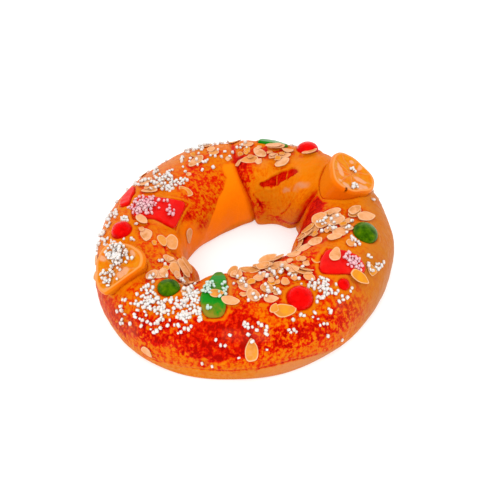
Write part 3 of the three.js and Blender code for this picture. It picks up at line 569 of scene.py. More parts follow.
def grid_faces(rows, count, closed_rows):
    """Quads between rows of points that each close on themselves, wound outwards."""
    i, j = np.meshgrid(np.arange(rows if closed_rows else rows - 1), np.arange(count), indexing="ij")
    below, beside = (i + 1) % rows, (j + 1) % count
    quads = np.stack([i * count + j, i * count + beside, below * count + beside, below * count + j], axis=-1)
    return quads.reshape(-1, 4)


def capped_faces(rows, count):
    """The same with a middle point before the first row and one after the last. -1 ends a triangle."""
    j = np.arange(count)
    beside = (j + 1) % count
    last = (rows - 1) * count
    middle, blank = np.full(count, rows * count), np.full(count, -1)
    top = np.stack([middle, j, beside, blank], axis=-1)
    bottom = np.stack([middle + 1, last + beside, last + j, blank], axis=-1)
    return np.concatenate([grid_faces(rows, count, False)[:, ::-1], top, bottom])


def ringed_points(rings, outline):
    """Points on rings, each a share of the outline at a height, and a middle point at each end."""
    x, y = (np.append(np.outer(rings[:, 0], way), [0, 0]) for way in outline)
    sides = len(outline[0])
    share = np.append(np.repeat(rings[:, 0], sides), [0, 0])
    height = np.append(np.repeat(rings[:, 1], sides), rings[[0, -1], 1])
    return x, y, height, share


# ---------------------------------------------------------------------------------- the materials
def hex_colour(code):
    """An sRGB hex value as linear red, green, blue and 1."""
    parts = [int(code[k:k + 2], 16) / 255 for k in (1, 3, 5)]
    return tuple(p / 12.92 if p < 0.04045 else ((p + 0.055) / 1.055) ** 2.4 for p in parts) + (1.0,)


def per_metre(width):
    """The scale of a pattern whose lumps are this wide, in mm."""
    return 1000 / width


def add(tree, kind, inputs=(), stops=(), **settings):
    """One node with its settings. Its live inputs, by name or in order, take values or other nodes'
    outputs, and a whole node stands for its first live output. Stops are a colour ramp's."""
    node = tree.nodes.new(kind)
    for name, value in settings.items():
        setattr(node, name, value)
    live = [socket for socket in node.inputs if socket.enabled]
    by_name = {socket.name: socket for socket in reversed(live)}
    for key, value in inputs.items() if isinstance(inputs, dict) else enumerate(inputs):
        socket = by_name[key] if isinstance(key, str) else live[key]
        if isinstance(value, bpy.types.Node):
            value = next(output for output in value.outputs if output.enabled)
        if isinstance(value, bpy.types.NodeSocket):
            tree.links.new(value, socket)
        else:
            socket.default_value = value
    for k, (position, code) in enumerate(stops):
        elements = node.color_ramp.elements
        element = elements[k] if k < 2 else elements.new(position)
        element.position = position
        element.color = hex_colour(code) if isinstance(code, str) else (code, code, code, 1)
    return node


def new_material(name):
    material = bpy.data.materials.new(name)
    material.use_nodes = True
    material.node_tree.nodes.clear()
    return material, material.node_tree


def crust_material():
    """Egg-washed brioche crust: it browns from salmon dough through orange to dark red, in a fine
    leathery crackle, and its glaze gives a soft broken shine. Painted sheen, painted shade and
    painted light are mixed into its colour where the marks say."""
    material, tree = new_material("egg_washed_brioche_crust")
    place = add(tree, "ShaderNodeTexCoord").outputs["Object"]
    marks = {
        label: add(tree, "ShaderNodeAttribute", attribute_name=label).outputs["Fac"]
        for label in ("browning", "crackle", "streak", "ochre", "pale", "fresh_and_painted_light", "painted_shade")
    }
    blotch = add(tree, "ShaderNodeTexNoise", {
        "Vector": place, "Scale": per_metre(3.704), "Detail": 4, "Roughness": 0.62, "Distortion": 0.4,
    })
    fine = add(tree, "ShaderNodeTexNoise", {
        "Vector": place, "Scale": per_metre(2.326), "Detail": 2, "Roughness": 0.5,
    })
    around = add(tree, "ShaderNodeUVMap", uv_map="crust_way")
    stretched = add(tree, "ShaderNodeMapping", {
        "Vector": around, "Scale": (per_metre(2.381), per_metre(9.091), 1),
    }, vector_type="POINT")
    streak = add(tree, "ShaderNodeTexNoise", {
        "Vector": stretched, "Scale": 1, "Detail": 3, "Distortion": 0.6,
    })
    spots, specks, lines = (
        add(tree, "ShaderNodeMapRange", {
            "Value": pattern, "From Min": 0.5 - reach, "From Max": 0.5 + reach,
            "To Min": -1.0, "To Max": 1.0,
        }, interpolation_type="SMOOTHSTEP")
        for pattern, reach in ((blotch, 0.12), (fine, 0.14), (streak, 0.12))
    )
    mottle = 0.0
    for pattern, share in ((spots, 0.72), (lines, 0.2), (specks, 0.3)):
        mottle = add(tree, "ShaderNodeMath", (pattern, share, mottle), operation="MULTIPLY_ADD")
    brown = marks["browning"]
    for pattern, share in ((mottle, marks["crackle"]), (lines, marks["streak"])):
        brown = add(tree, "ShaderNodeMath", (pattern, share, brown), operation="MULTIPLY_ADD")
    colour = add(tree, "ShaderNodeValToRGB", {"Fac": brown}, stops=[
        (0.0, "#C9855C"), (0.2, "#CA7417"), (0.4, "#CC6801"), (0.54, "#C35601"),
        (0.62, "#C24001"), (0.72, "#BE1E01"), (0.84, "#B60801"), (1.0, "#920301"),
    ])
    patchy = add(tree, "ShaderNodeTexNoise", {
        "Vector": place, "Scale": per_metre(13.33), "Detail": 6, "Roughness": 0.72,
    })
    golden = add(tree, "ShaderNodeMapRange", {
        "Value": patchy, "From Min": 0.42, "From Max": 0.62, "To Max": 0.75,
    })
    unburnt = add(tree, "ShaderNodeMapRange", {
        "Value": brown, "From Min": 0.5, "From Max": 0.66, "To Min": 1.0, "To Max": 0.0,
    })
    gold = marks["ochre"]
    for limit in (golden, unburnt):
        gold = add(tree, "ShaderNodeMath", (gold, limit), operation="MULTIPLY")
    marks["ochre"] = gold
    # The mixes over the browned colour, in turn: ochre, a golden tone of the crust; a pale salmon, which is
    # painted sheen, the glaze's pale reflection, and along the foot's right part also paler dough; a bright
    # orange for smooth unbrowned dough, which is also painted light that lifts the hole's shaded walls; and a
    # dark brown, which is painted shade on the flanks and the foot.
    for label, code in (("ochre", "#C16C06"), ("pale", "#BE7D55"), ("fresh_and_painted_light", "#EA7404"), ("painted_shade", "#A2601A")):
        colour = add(tree, "ShaderNodeMix", (marks[label], colour, hex_colour(code)), data_type="RGBA")
    rough = add(tree, "ShaderNodeMapRange", {"Value": blotch, "To Min": 0.3, "To Max": 0.6})
    height = add(tree, "ShaderNodeMath", (fine, 0.5, blotch), operation="MULTIPLY_ADD")
    shader = add(tree, "ShaderNodeBsdfPrincipled", {
        "Base Color": colour, "Roughness": rough,
        "Normal": add(tree, "ShaderNodeBump", {"Height": height, "Strength": 0.45, "Distance": 0.0010}),
        "IOR": 1.45, "Specular IOR Level": 0.07, "Specular Tint": hex_colour("#FF9030"),
    })
    add(tree, "ShaderNodeOutputMaterial", [shader])
    return material


def flake_material():
    """Flaked almond: a matt cream slice of the kernel, peach where it toasts, with a pale rim."""
    material, tree = new_material("toasted_almond_flake")
    place = add(tree, "ShaderNodeTexCoord").outputs["Object"]
    tone, shade, rim = (
        add(tree, "ShaderNodeAttribute", attribute_name=label).outputs["Fac"]
        for label in ("tone", "shade", "rim")
    )
    cloudy = add(tree, "ShaderNodeTexNoise", {"Vector": place, "Scale": per_metre(3.125), "Detail": 3})
    tone = add(tree, "ShaderNodeMath", (cloudy, 0.7, tone), operation="MULTIPLY_ADD")
    tone = add(tree, "ShaderNodeMath", (tone, 0.35), operation="SUBTRACT")
    body = add(tree, "ShaderNodeValToRGB", {"Fac": tone}, stops=[
        (0.0, "#D39E76"), (0.4, "#CE8A51"), (0.75, "#CC8226"), (1.0, "#D3850D"),
    ])
    patchy = add(tree, "ShaderNodeTexNoise", {"Vector": place, "Scale": per_metre(6.667), "Detail": 3})
    toast = add(tree, "ShaderNodeMapRange", {
        "Value": patchy, "From Min": 0.42, "From Max": 0.62, "To Max": 0.85,
    })
    toast = add(tree, "ShaderNodeMath", (toast, shade), operation="MULTIPLY")
    toasted = add(tree, "ShaderNodeMix", (toast, body, hex_colour("#B36D2A")), data_type="RGBA")
    edge = add(tree, "ShaderNodeValToRGB", {"Fac": rim}, stops=[
        (0.0, 0.0), (0.84, 0.0), (0.91, 0.75), (0.97, 0.75), (1.0, 0.2),
    ])
    shader = add(tree, "ShaderNodeBsdfPrincipled", {
        "Base Color": add(tree, "ShaderNodeMix", (edge, toasted, hex_colour("#D4AA85")), data_type="RGBA"),
        "Normal": add(tree, "ShaderNodeBump", {"Height": cloudy, "Strength": 0.2, "Distance": 0.0004}),
        "Roughness": 0.5, "IOR": 1.46, "Specular IOR Level": 0.06,
    })
    add(tree, "ShaderNodeOutputMaterial", [shader])
    return material


def sugar_material():
    """Pearl sugar: opaque white grains of pressed sugar, with a faint warm and cool variation, and
    tinted red or green where they lie on a fruit, partly stained by its syrup and partly painted
    with the fruit's reflected light."""
    material, tree = new_material("pearl_sugar")
    place = add(tree, "ShaderNodeTexCoord").outputs["Object"]
    syrup = add(tree, "ShaderNodeAttribute", attribute_name="syrup").outputs["Fac"]
    cloudy = add(tree, "ShaderNodeTexNoise", {"Vector": place, "Scale": per_metre(2.632), "Detail": 2})
    colour = add(tree, "ShaderNodeValToRGB", {"Fac": cloudy}, stops=[
        (0.35, "#C4B4AB"), (0.5, "#D3CBC2"), (0.65, "#CBCCCE"),
    ])
    # The red and green tints are partly syrup stain and partly painted reflected light from the fruit.
    for sign, code in ((1.0, "#D3929D"), (-1.0, "#9EC2B3")):
        stain = add(tree, "ShaderNodeMath", (syrup, sign), operation="MULTIPLY")
        colour = add(tree, "ShaderNodeMix", (stain, colour, hex_colour(code)), data_type="RGBA")
    shader = add(tree, "ShaderNodeBsdfPrincipled", {
        "Base Color": colour, "Roughness": 0.5, "IOR": 1.5, "Specular IOR Level": 0.3,
        "Normal": add(tree, "ShaderNodeBump", {"Height": cloudy, "Strength": 0.3, "Distance": 0.0004}),
    })
    add(tree, "ShaderNodeOutputMaterial", [shader])
    return material


def cherry_material(name, tint, stops):
    """Candied cherry: syrup-soaked flesh under a smooth wet skin, darker where the skin is thick."""
    material, tree = new_material(name)
    place = add(tree, "ShaderNodeTexCoord").outputs["Object"]
    cloudy = add(tree, "ShaderNodeTexNoise", {
        "Vector": place, "Scale": per_metre(5.882), "Detail": 4, "Roughness": 0.6,
    })
    shader = add(tree, "ShaderNodeBsdfPrincipled", {
        "Base Color": add(tree, "ShaderNodeValToRGB", {"Fac": cloudy}, stops=stops),
        "Normal": add(tree, "ShaderNodeBump", {"Height": cloudy, "Strength": 0.25, "Distance": 0.0008}),
        "Roughness": 0.1, "IOR": 1.48, "Specular IOR Level": 0.11, "Specular Tint": hex_colour(tint),
    })
    add(tree, "ShaderNodeOutputMaterial", [shader])
    return material


def slice_material():
    """Candied orange slice: glossy orange peel, a peach band of pith, and amber flesh between pale
    membranes, all soaked with syrup."""
    material, tree = new_material("candied_orange_slice")
    place = add(tree, "ShaderNodeTexCoord").outputs["Object"]
    marks = {
        label: add(tree, "ShaderNodeAttribute", attribute_name=label).outputs["Fac"]
        for label in ("flush", "pith", "membrane", "peel", "pip")
    }
    cloudy = add(tree, "ShaderNodeTexNoise", {"Vector": place, "Scale": per_metre(4.545), "Detail": 4})
    colour = add(tree, "ShaderNodeValToRGB", {"Fac": cloudy}, stops=[
        (0.35, "#C77D12"), (0.5, "#C97105"), (0.65, "#CC6503"),
    ])
    peel = add(tree, "ShaderNodeValToRGB", {"Fac": marks["flush"]}, stops=[
        (0.0, "#D17912"), (0.5, "#D16704"), (1.0, "#D14C03"),
    ])
    for label, finish in (
        ("pith", hex_colour("#D18545")), ("membrane", hex_colour("#CE8F67")),
        ("peel", peel), ("pip", hex_colour("#4A0F00")),
    ):
        colour = add(tree, "ShaderNodeMix", (marks[label], colour, finish), data_type="RGBA")
    shader = add(tree, "ShaderNodeBsdfPrincipled", {
        "Base Color": colour, "Roughness": 0.3, "IOR": 1.48,
        "Normal": add(tree, "ShaderNodeBump", {"Height": cloudy, "Strength": 0.2, "Distance": 0.0006}),
        "Specular IOR Level": 0.08, "Specular Tint": hex_colour("#FFA040"),
    })
    add(tree, "ShaderNodeOutputMaterial", [shader])
    return material


def strip_material(name, tint, stops):
    """Candied fruit strip: dense syrup-soaked flesh with faint fibres and a satin surface."""
    material, tree = new_material(name)
    place = add(tree, "ShaderNodeTexCoord").outputs["Object"]
    edge = add(tree, "ShaderNodeAttribute", attribute_name="edge").outputs["Fac"]
    cloudy = add(tree, "ShaderNodeTexNoise", {
        "Vector": place, "Scale": per_metre(8.333), "Detail": 5, "Roughness": 0.6,
    })
    shade = add(tree, "ShaderNodeMath", (cloudy, edge), operation="ADD")
    shader = add(tree, "ShaderNodeBsdfPrincipled", {
        "Base Color": add(tree, "ShaderNodeValToRGB", {"Fac": shade}, stops=stops),
        "Normal": add(tree, "ShaderNodeBump", {"Height": cloudy, "Strength": 0.3, "Distance": 0.0008}),
        "Roughness": 0.28, "IOR": 1.48, "Specular IOR Level": 0.2, "Specular Tint": hex_colour(tint),
    })
    add(tree, "ShaderNodeOutputMaterial", [shader])
    return material


# -------------------------------------------------------------------------------------- the bread
LOBE_COLUMNS = 96
RING_COLUMNS = 356
DOME_ROWS = 128
FOOT_ROWS = 24
RING_LENGTH = 0.65  # the way round the loaf's side that the crust's map stands for, in metres

# The skin's noise, in layers: height, size of a lump in mm, and seed.
SKIN_LUMPS = [(0.55, 26, 1), (0.3, 11, 2)]
SKIN_WRINKLES = [(0.16, 5, 3), (0.1, 3, 4)]
SPLIT_RAGS = [(1.8, 7, 8), (1.1, 3, 9)]
BROWNING_CLOUDS = [(0.10, 30, 21), (0.07, 12, 22)]
BELT_RAGS = [(5, 10, 41), (5, 4, 42)]
# Lumps of dough: angle, lean, reach round and across in mm, and height.
BULGES = [(152, 112, (9, 9), 2.0), (-34, 100, (12, 9), 2.4), (50, 112, (14, 20), 2.5)]
# Threads of dough across the split: place along it, slant and half width.
SPLIT_THREADS = [(-8, 0.5, 0.9), (3, 0.6, 0.7)]
# The crack along the foot, then short splits that rise from it and fine creases of the skin, each
# as places on the crust.
CRACK = [
    (-122, -12), (-107, -6), (-100, -3), (-92, 1), (-84, 1), (-74, 2), (-65, -4), (-56, -18), (-49, -34),
]
SHORT_CRACKS = [
    [(-105, -5), (-104, 3), (-105.5, 8)], [(-99, -3), (-98.5, 5)], [(-93.5, 1), (-93, 7), (-94.5, 13)],
    [(-84.5, 1), (-83, 8)], [(-74, 2), (-75, 8), (-73.5, 12)], [(-66, -3), (-65.5, 3)],
]
CREASES = [
    [(-158, 119), (-148, 117), (-140, 121), (-133, 126), (-127, 134), (-118, 122)],
    [(-152, 128), (-142, 130), (-134, 138), (-127, 146)], [(82, 154), (77, 163), (73, 172)],
    [(46, 158), (50, 170), (56, 178)], [(-26, 146), (-12, 150), (2, 154)],
]
# How deep each kind is, as a share of the deepest, and its half width in mm.
CRACK_KINDS = [([CRACK], 1.0, 0.9), (SHORT_CRACKS, 0.8, 0.5), (CREASES, 0.9, 0.8)]
CRACK_DEPTH = 1.3
UNDERCUT_DEPTH = 0.8  # how far the foot lies in under the crack
CRACK_ENDS = (-122, 8, -49, 8)  # angles where the crack starts, eases in, ends and eases out
FOOT_ENDS = (-126, 8, -44, 8)  # the same for the paler foot below it
LIPS = {"slice": 1.3, "cherry": 1.3, "strip": 1.2}  # height of the dough raised round each kind of fruit
LIP_WIDTH = 1.6
FRUIT_DENT = 0.8  # how far the dough sinks under a fruit
SPLIT_LIP = 0.7
SPLIT_SOFT = 0.0001  # least width of the split at its ends, as a share squared

# Soft patches of the bake: angle, lean, reach round and across in mm, then the browning they bring
# the crust to, how fully, and the crackle there.
BAKE = [
    (160, 60, (60, 60), 0.52, 0.7, 0.10), (125, 118, (18, 20), 0.64, 1.0, 0.20),
    (150, 140, (26, 16), 0.62, 1.0, 0.20), (163, 137, (8, 10), 0.80, 0.9, 0.20),
    (153, 174, (10, 12), 0.74, 0.9, 0.22), (94, 110, (6, 11), 0.92, 1.0, 0.12),
    (88, 126, (5, 12), 0.87, 1.0, 0.16), (66, 150, (24, 34), 0.40, 1.0, 0.12),
    (80, 180, (8, 6), 0.74, 0.9, 0.20), (56, 192, (14, 6), 0.70, 0.9, 0.22),
    # The patches at angles 24, 17 and 8, leans 129 to 146, are painted shade: the hole's right wall darkened
    # where the hole shades it.
    (48, 112, (18, 20), 0.38, 1.0, 0.04), (24, 129, (9, 11), 0.88, 1.0, 0.16),
    (17, 137, (10, 13), 0.91, 1.0, 0.14), (8, 146, (12, 14), 0.86, 1.0, 0.18),
    (92, 128, (5, 16), 0.74, 0.9, 0.22), (86, 158, (5, 20), 0.66, 0.9, 0.24),
    (-125, -14, (30, 12), 0.62, 0.9, 0.22), (0, 60, (44, 30), 0.44, 0.8, 0.12),
    (-30, 132, (26, 12), 0.78, 0.9, 0.22),
]
# The browning that each part of the crust is brought to, from 0, pale dough, to 1, dark red. The fold's value
# is painted shade, which darkens the crust along the folds.
BROWNING = {
    "plain": 0.47, "front": 0.6, "foot": 0.4, "low wall": 0.3, "hole's foot": 0.35, "base": 0.62,
    "split": 0.86, "pulled": 0.42, "fold": 0.88, "fruit rim": 0.36,
}
SMOOTH_CRACKLE = 0.02
# The dark belt of the outer wall: angle, the leans of its top and bottom, browning and crackle.
BELT = [
    (-165, 22, -32, 0.70, 0.16), (-150, 24, -14, 0.75, 0.20), (-140, 26, -8, 0.80, 0.24),
    (-127, 45, 13, 0.82, 0.26), (-117, 52, 17, 0.82, 0.24), (-108, 58, 19, 0.85, 0.22),
    (-100, 68, 16, 0.88, 0.19), (-90, 74, 17, 0.83, 0.22), (-84, 56, 19, 0.75, 0.27),
    (-74, 44, 18, 0.73, 0.29), (-60, 42, 13, 0.72, 0.29), (-45, 38, 11, 0.70, 0.28),
    (-34, 30, 16, 0.60, 0.20),
]
# The smooth pulled side of the left fold: its far edge, as leans and angles, and the leans it holds.
PULLED_EDGE = [
    (100, 104), (108, 107), (123, 106), (136, 112), (150, 124), (165, 137), (181, 149), (205, 160),
]
PULLED_LEANS = (102, 6, 212, 20)
BASE_LEANS = (-44, 226)  # outside these lies the flat base
# Dough that stays smooth on the hole's wall, its colour painted brighter there as painted light against the
# hole's shade: angle, lean, reach round and across, and turn.
SMOOTH_WALL = [(172, 164, (13, 13), 0), (156, 190, (26, 12), 0), (-162, 148, (14, 16), 0)]
# Painted sheen on the lobe: pale highlight patches of the glaze, in the same form.
LOBE_SHEEN = [(43, 131, (7, 4), 60), (54, 147, (4, 2.8), 30)]
# Regions of the wall: the angles, then the leans that each one holds, as where it starts, how far it
# eases in, where it ends and how far it eases out.
REGIONS = {
    "front": ((-168, 12, -30, 12), (-99, 1, 110, 0.01)),
    "right side": ((-70, 30, 60, 16), (-99, 1, 112, 24)),
    "right edge": ((-44, 20, 30, 12), (-44, 10, 22, 22)),
    "right flank": ((-56, 30, 64, 16), (-99, 1, 80, 30)),
    "left flank": ((-180, 12, -124, 16), (-99, 1, 40, 20)),
}


def patch_weight(points, angle, lean, reach, turn=0, soft=0.45):
    """1 in the middle of an oval patch on the crust, and 0 well outside it."""
    x, y, depth = seen_from(seat_at(angle, lean), points, turn)
    far = np.sqrt((x / reach[0]) ** 2 + (y / reach[1]) ** 2 + (depth / max(reach)) ** 2)
    return smooth((1 + soft - far) / (2 * soft))


def bread_grid():
    """The angle and lean of each point of the bread's grid, whose columns follow the two folds."""
    leans = [-90, -78, -66, -56, -50, -46.5]
    leans += [-BASE_EDGE_LEAN * (1 - k / FOOT_ROWS) for k in range(FOOT_ROWS)]
    leans += [180 * k / DOME_ROWS for k in range(DOME_ROWS + 1)]
    leans += [180 + BASE_EDGE_LEAN * k / FOOT_ROWS for k in range(1, FOOT_ROWS + 1)]
    leans += [226.5, 230, 236, 246, 258]
    leans = np.array(leans, float)
    left, right = (angles[:, None] for angles in fold_angles(leans))
    share = np.arange(LOBE_COLUMNS) / LOBE_COLUMNS
    eased = 0.6 * (0.5 - 0.5 * np.cos(math.pi * share)) + 0.4 * share
    lobe = right + (left - right) * eased
    rest = left + (360 + right - left) * np.arange(RING_COLUMNS) / RING_COLUMNS
    angles = np.concatenate([lobe, rest], axis=1)
    return angles, np.broadcast_to(leans[:, None], angles.shape)


def crack_lean(at):
    """The lean of the crack along the foot at an angle."""
    return np.interp(at, *zip(*CRACK))


def crack_depth(points):
    """How deep a point lies in a crack or crease, from 0 to 1."""
    deepest = np.zeros(points.shape[:-1])
    for paths, depth, width in CRACK_KINDS:
        for places in paths:
            far = line_distance(points, crust(*np.array(places, float).T))
            deepest = np.maximum(deepest, depth * bell(far / width))
    return deepest


def split_depth(points):
    """How open the split is at each point, and how far the point lies in its raised lips."""
    x, y, depth = seen_from(seat_at(SPLIT["angle"], SPLIT["lean"]), points, SPLIT["turn"])
    y = y + clouds(points, SPLIT_RAGS)
    half_length = SPLIT["length"] / 2
    half = SPLIT["width"] / 2 * np.sqrt(np.clip(1 - (x / half_length) ** 2, SPLIT_SOFT, 1))
    near = smooth((SPLIT["reach"] - np.abs(depth)) / 4) * smooth((half_length - np.abs(x)) / 3)
    threads = sum(bell((x - along - slant * y) / width) for along, slant, width in SPLIT_THREADS)
    split = smooth((1.25 - np.abs(y) / half) / 0.5) * near * (1 - 0.6 * np.clip(threads, 0, 1))
    return split, bell((np.abs(y) / half - 1.35) / 0.25) * near


def bread_relief(at, lean, points, gaps, cracks, split, lips):
    """How far the finished skin stands out of the plain crust."""
    lift = clouds(points, SKIN_LUMPS)
    lift += clouds(points, SKIN_WRINKLES) * (0.7 + 0.9 * between(lean, -40, 20, 75, 20))
    for angle_at, lean_at, reach, height in BULGES:
        lift += height * patch_weight(points, angle_at, lean_at, reach, soft=0.6)
    for fruit, gap in zip(fruits, gaps):
        lip = LIPS[fruit["kind"]] * bell((gap - LIP_WIDTH) / LIP_WIDTH) * (gap > -4)
        lift += lip - FRUIT_DENT * smooth(-gap / 3)
    undercut = smooth((crack_lean(at) - lean) / 3) * between(at, *CRACK_ENDS)
    lift -= CRACK_DEPTH * cracks + UNDERCUT_DEPTH * undercut
    return lift + SPLIT_LIP * lips - SPLIT["depth"] * split


def region(name, at, lean):
    """1 in a named region of the wall, and 0 outside it."""
    angles, leans = REGIONS[name]
    return between(at, *angles) * between(lean, *leans)


def wall_bake(at, lean, points, foot):
    """Browning and crackle of the plain crust, its patches, the belt and the foot."""
    browning = BROWNING["plain"] + clouds(points, BROWNING_CLOUDS)
    crackle = 0.09 + 0.06 * cloud(points, 18, 23)
    drift = 3 * np.stack([cloud(points, 14, seed) for seed in (31, 32, 33)], -1)
    for angle_at, lean_at, reach, target, hold, roughness in BAKE:
        weight = patch_weight(points + drift, angle_at, lean_at, reach) * hold
        browning = blend(browning, target, weight)
        crackle = blend(crackle, roughness, weight)
    front = region("front", at, lean)
    browning = blend(browning, BROWNING["front"], front * 0.75)
    crackle = blend(crackle, 0.19, front * 0.7)
    angles, *rows = np.array(BELT).T
    top, bottom, belt_browning, belt_crackle = (np.interp(at, angles, row) for row in rows)
    rags = clouds(points, BELT_RAGS)
    belt = between(lean, bottom + rags - 3, 6, top + rags + 3, 6) * front
    browning = blend(browning, belt_browning + 0.08 * cloud(points, 9, 43), belt)
    crackle = blend(crackle, belt_crackle, belt)
    browning = blend(browning, BROWNING["foot"], foot)
    browning = blend(browning, BROWNING["low wall"], 0.8 * smooth((12 - lean) / 46))
    browning = blend(browning, BROWNING["hole's foot"], 0.7 * smooth((lean - 185) / 25))
    return browning, crackle


def bread_marks(at, lean, points, gaps, cracks, split):
    """The bake of the crust at each point: browning, crackle, streaks, and shares of other colours."""
    foot = smooth((crack_lean(at) - lean) / 5) * between(at, *FOOT_ENDS)
    browning, crackle = wall_bake(at, lean, points, foot)
    base = (lean < BASE_LEANS[0]) | (lean > BASE_LEANS[1])
    browning = np.where(base, BROWNING["base"] + 0.1 * cloud(points, 15, 24), browning)
    browning = np.maximum(browning, BROWNING["split"] * np.clip(split * 1.4, 0, 1))
    # Painted shade: the cracks and creases are darkened.
    browning += 0.3 * cracks * ~base
    left, right = fold_angles(lean)
    edge = np.interp(lean, *zip(*PULLED_EDGE)) + 1.2 * cloud(points, 9, 44)
    pulled = between(at, left, 1.5, edge + 1, 2) * between(lean, *PULLED_LEANS)
    # The pulled side and the smooth patches of the hole's wall are smooth, less browned dough. Their bright
    # orange share is also painted light, which lifts the hole's shade.
    wall = sum(0.8 * patch_weight(points, *place) for place in SMOOTH_WALL)
    bright = np.clip(pulled + wall, 0, 1)
    browning = blend(browning, BROWNING["pulled"], bright)
    crackle = blend(crackle, SMOOTH_CRACKLE, bright)
    # Painted shade: the crust is darkened along both folds.
    for fold, start in zip((left, right), FOLD_STARTS):
        near = bell(turned(at - fold) / 1.3) * between(lean, start + 15, 20, 215, 15)
        browning = blend(browning, BROWNING["fold"], near * 0.8)
    # Round each fruit the dough's lip is paler. Right at the fruit's edge a dark line is painted shade, where
    # the fruit meets the crust.
    for gap in gaps:
        rim = 0.8 * smooth((5 - gap) / 3) * (gap > -3)
        browning = blend(browning, BROWNING["fruit rim"], rim) + 0.35 * bell((gap + 0.2) / 0.9)
        crackle = blend(crackle, SMOOTH_CRACKLE, rim)
    # Painted shade: a dark ring round each flake, where it meets the crust.
    for flake_angle, flake_lean, turn, length, *_ in FLAKES + MORE_FLAKES:
        x, y, depth = seen_from(seat_at(flake_angle, flake_lean), points, turn)
        far = np.hypot(x / (length / 2), y / (2 + 0.2 * length)) + (depth / length) ** 2
        browning += 0.16 * bell((far - 1.1) / 0.22)
    streak = 0.04 * between(lean, -30, 20, 70, 30) + 0.035 * smooth((lean - 110) / 20)
    ochre = 0.75 + 0.75 * region("right side", at, lean) - pulled - 0.5 * cloud(points, 25, 45)
    # The pale share is painted sheen, the glaze's pale reflection: along the right edge, on the back, in
    # random patches and in the lobe's highlight patches. Along the foot's right part it is also paler dough.
    back = between(at, 112, 14, 158, 14) * bell((lean - 62) / 18)
    ragged = points + 2 * cloud(points, 5, 52)[..., None]
    pale = 0.62 * region("right edge", at, lean) + 0.5 * foot * smooth((at + 92) / 20) + 0.35 * back
    pale += 0.25 * np.clip(cloud(points, 16, 51) - 0.35, 0, 1)
    pale += 0.8 * sum(patch_weight(ragged, *place) for place in LOBE_SHEEN)
    # Painted shade: a darker brown on the right flank, and a little on the left flank and the foot.
    painted_shade = 0.62 * region("right flank", at, lean) + 0.15 * region("left flank", at, lean) + 0.14 * foot
    return {
        "browning": np.clip(browning, 0, 1), "crackle": np.clip(crackle, 0, 1),
        "streak": streak * (1 - pulled), "pale": np.clip(pale, 0, 0.85), "ochre": np.clip(ochre, 0, 1),
        "fresh_and_painted_light": 0.85 * bright, "painted_shade": np.clip(painted_shade, 0, 0.7),
    }


def build_bread():
    """The loaf's skin as one closed grid, with its marks and a map that runs along and across it."""
    angle, lean = bread_grid()
    at = turned(angle)
    seat = seat_at(angle, lean)
    plain = seat["point"]
    gaps = [edge_distance(fruit, angle, lean, plain) for fruit in fruits]
    cracks = crack_depth(plain)
    split, lips = split_depth(plain)
    lift = bread_relief(at, lean, plain, gaps, cracks, split, lips)
    settle = smooth((plain[..., 2] - 0.4) / 5)
    points = plain + seat["normal"] * (lift * settle)[..., None]
    points[..., 2] = np.maximum(points[..., 2], 0)
    marks = bread_marks(at, lean, plain, gaps, cracks, split)
    marks = {label: values.ravel() for label, values in marks.items()}
    rows, count = angle.shape
    faces = grid_faces(rows, count, True)
    piece = make_piece("bread_ring", points.reshape(-1, 3), faces, marks, crust_material())
    u = np.arange(count + 1) / count * RING_LENGTH
    across = lengths_along(plain[:, 0]) / 1000
    across = np.append(across, across[-1] + 0.02)
    i, j = np.meshgrid(np.arange(rows), np.arange(count), indexing="ij")
    corner_u = np.stack([u[j], u[j + 1], u[j + 1], u[j]], axis=-1)
    corner_v = np.stack([across[i], across[i], across[i + 1], across[i + 1]], axis=-1)
    layer = piece.data.uv_layers.new(name="crust_way")
    layer.data.foreach_set("uv", np.stack([corner_u, corner_v], axis=-1).astype(np.float32).ravel())
    return piece


# ------------------------------------------------------------------------------------- the fruits
FLESH_EDGE = 0.88  # shares of a slice's radius where the flesh ends, the pith shows and the peel starts
PITH_EDGE = 0.84
PEEL_EDGE = 0.93
FLESH_DEPTH = 0.7  # how far the flesh sinks between the membranes
MEMBRANE_WIDTH = 0.9
MEMBRANE_HEIGHT = 0.25
PIP = (1.9, 1.6)  # half a pip's length, and how many times longer it is than wide
SLICE_LUMPS = [(0.2, 5, 2)]
CHERRY_LUMPS = [(0.35, 7, 0), (0.12, 3, 1)]
STRIP_LUMPS = [(0.3, 9, 0), (0.12, 4, 1)]
STRIP_DIP = 0.35


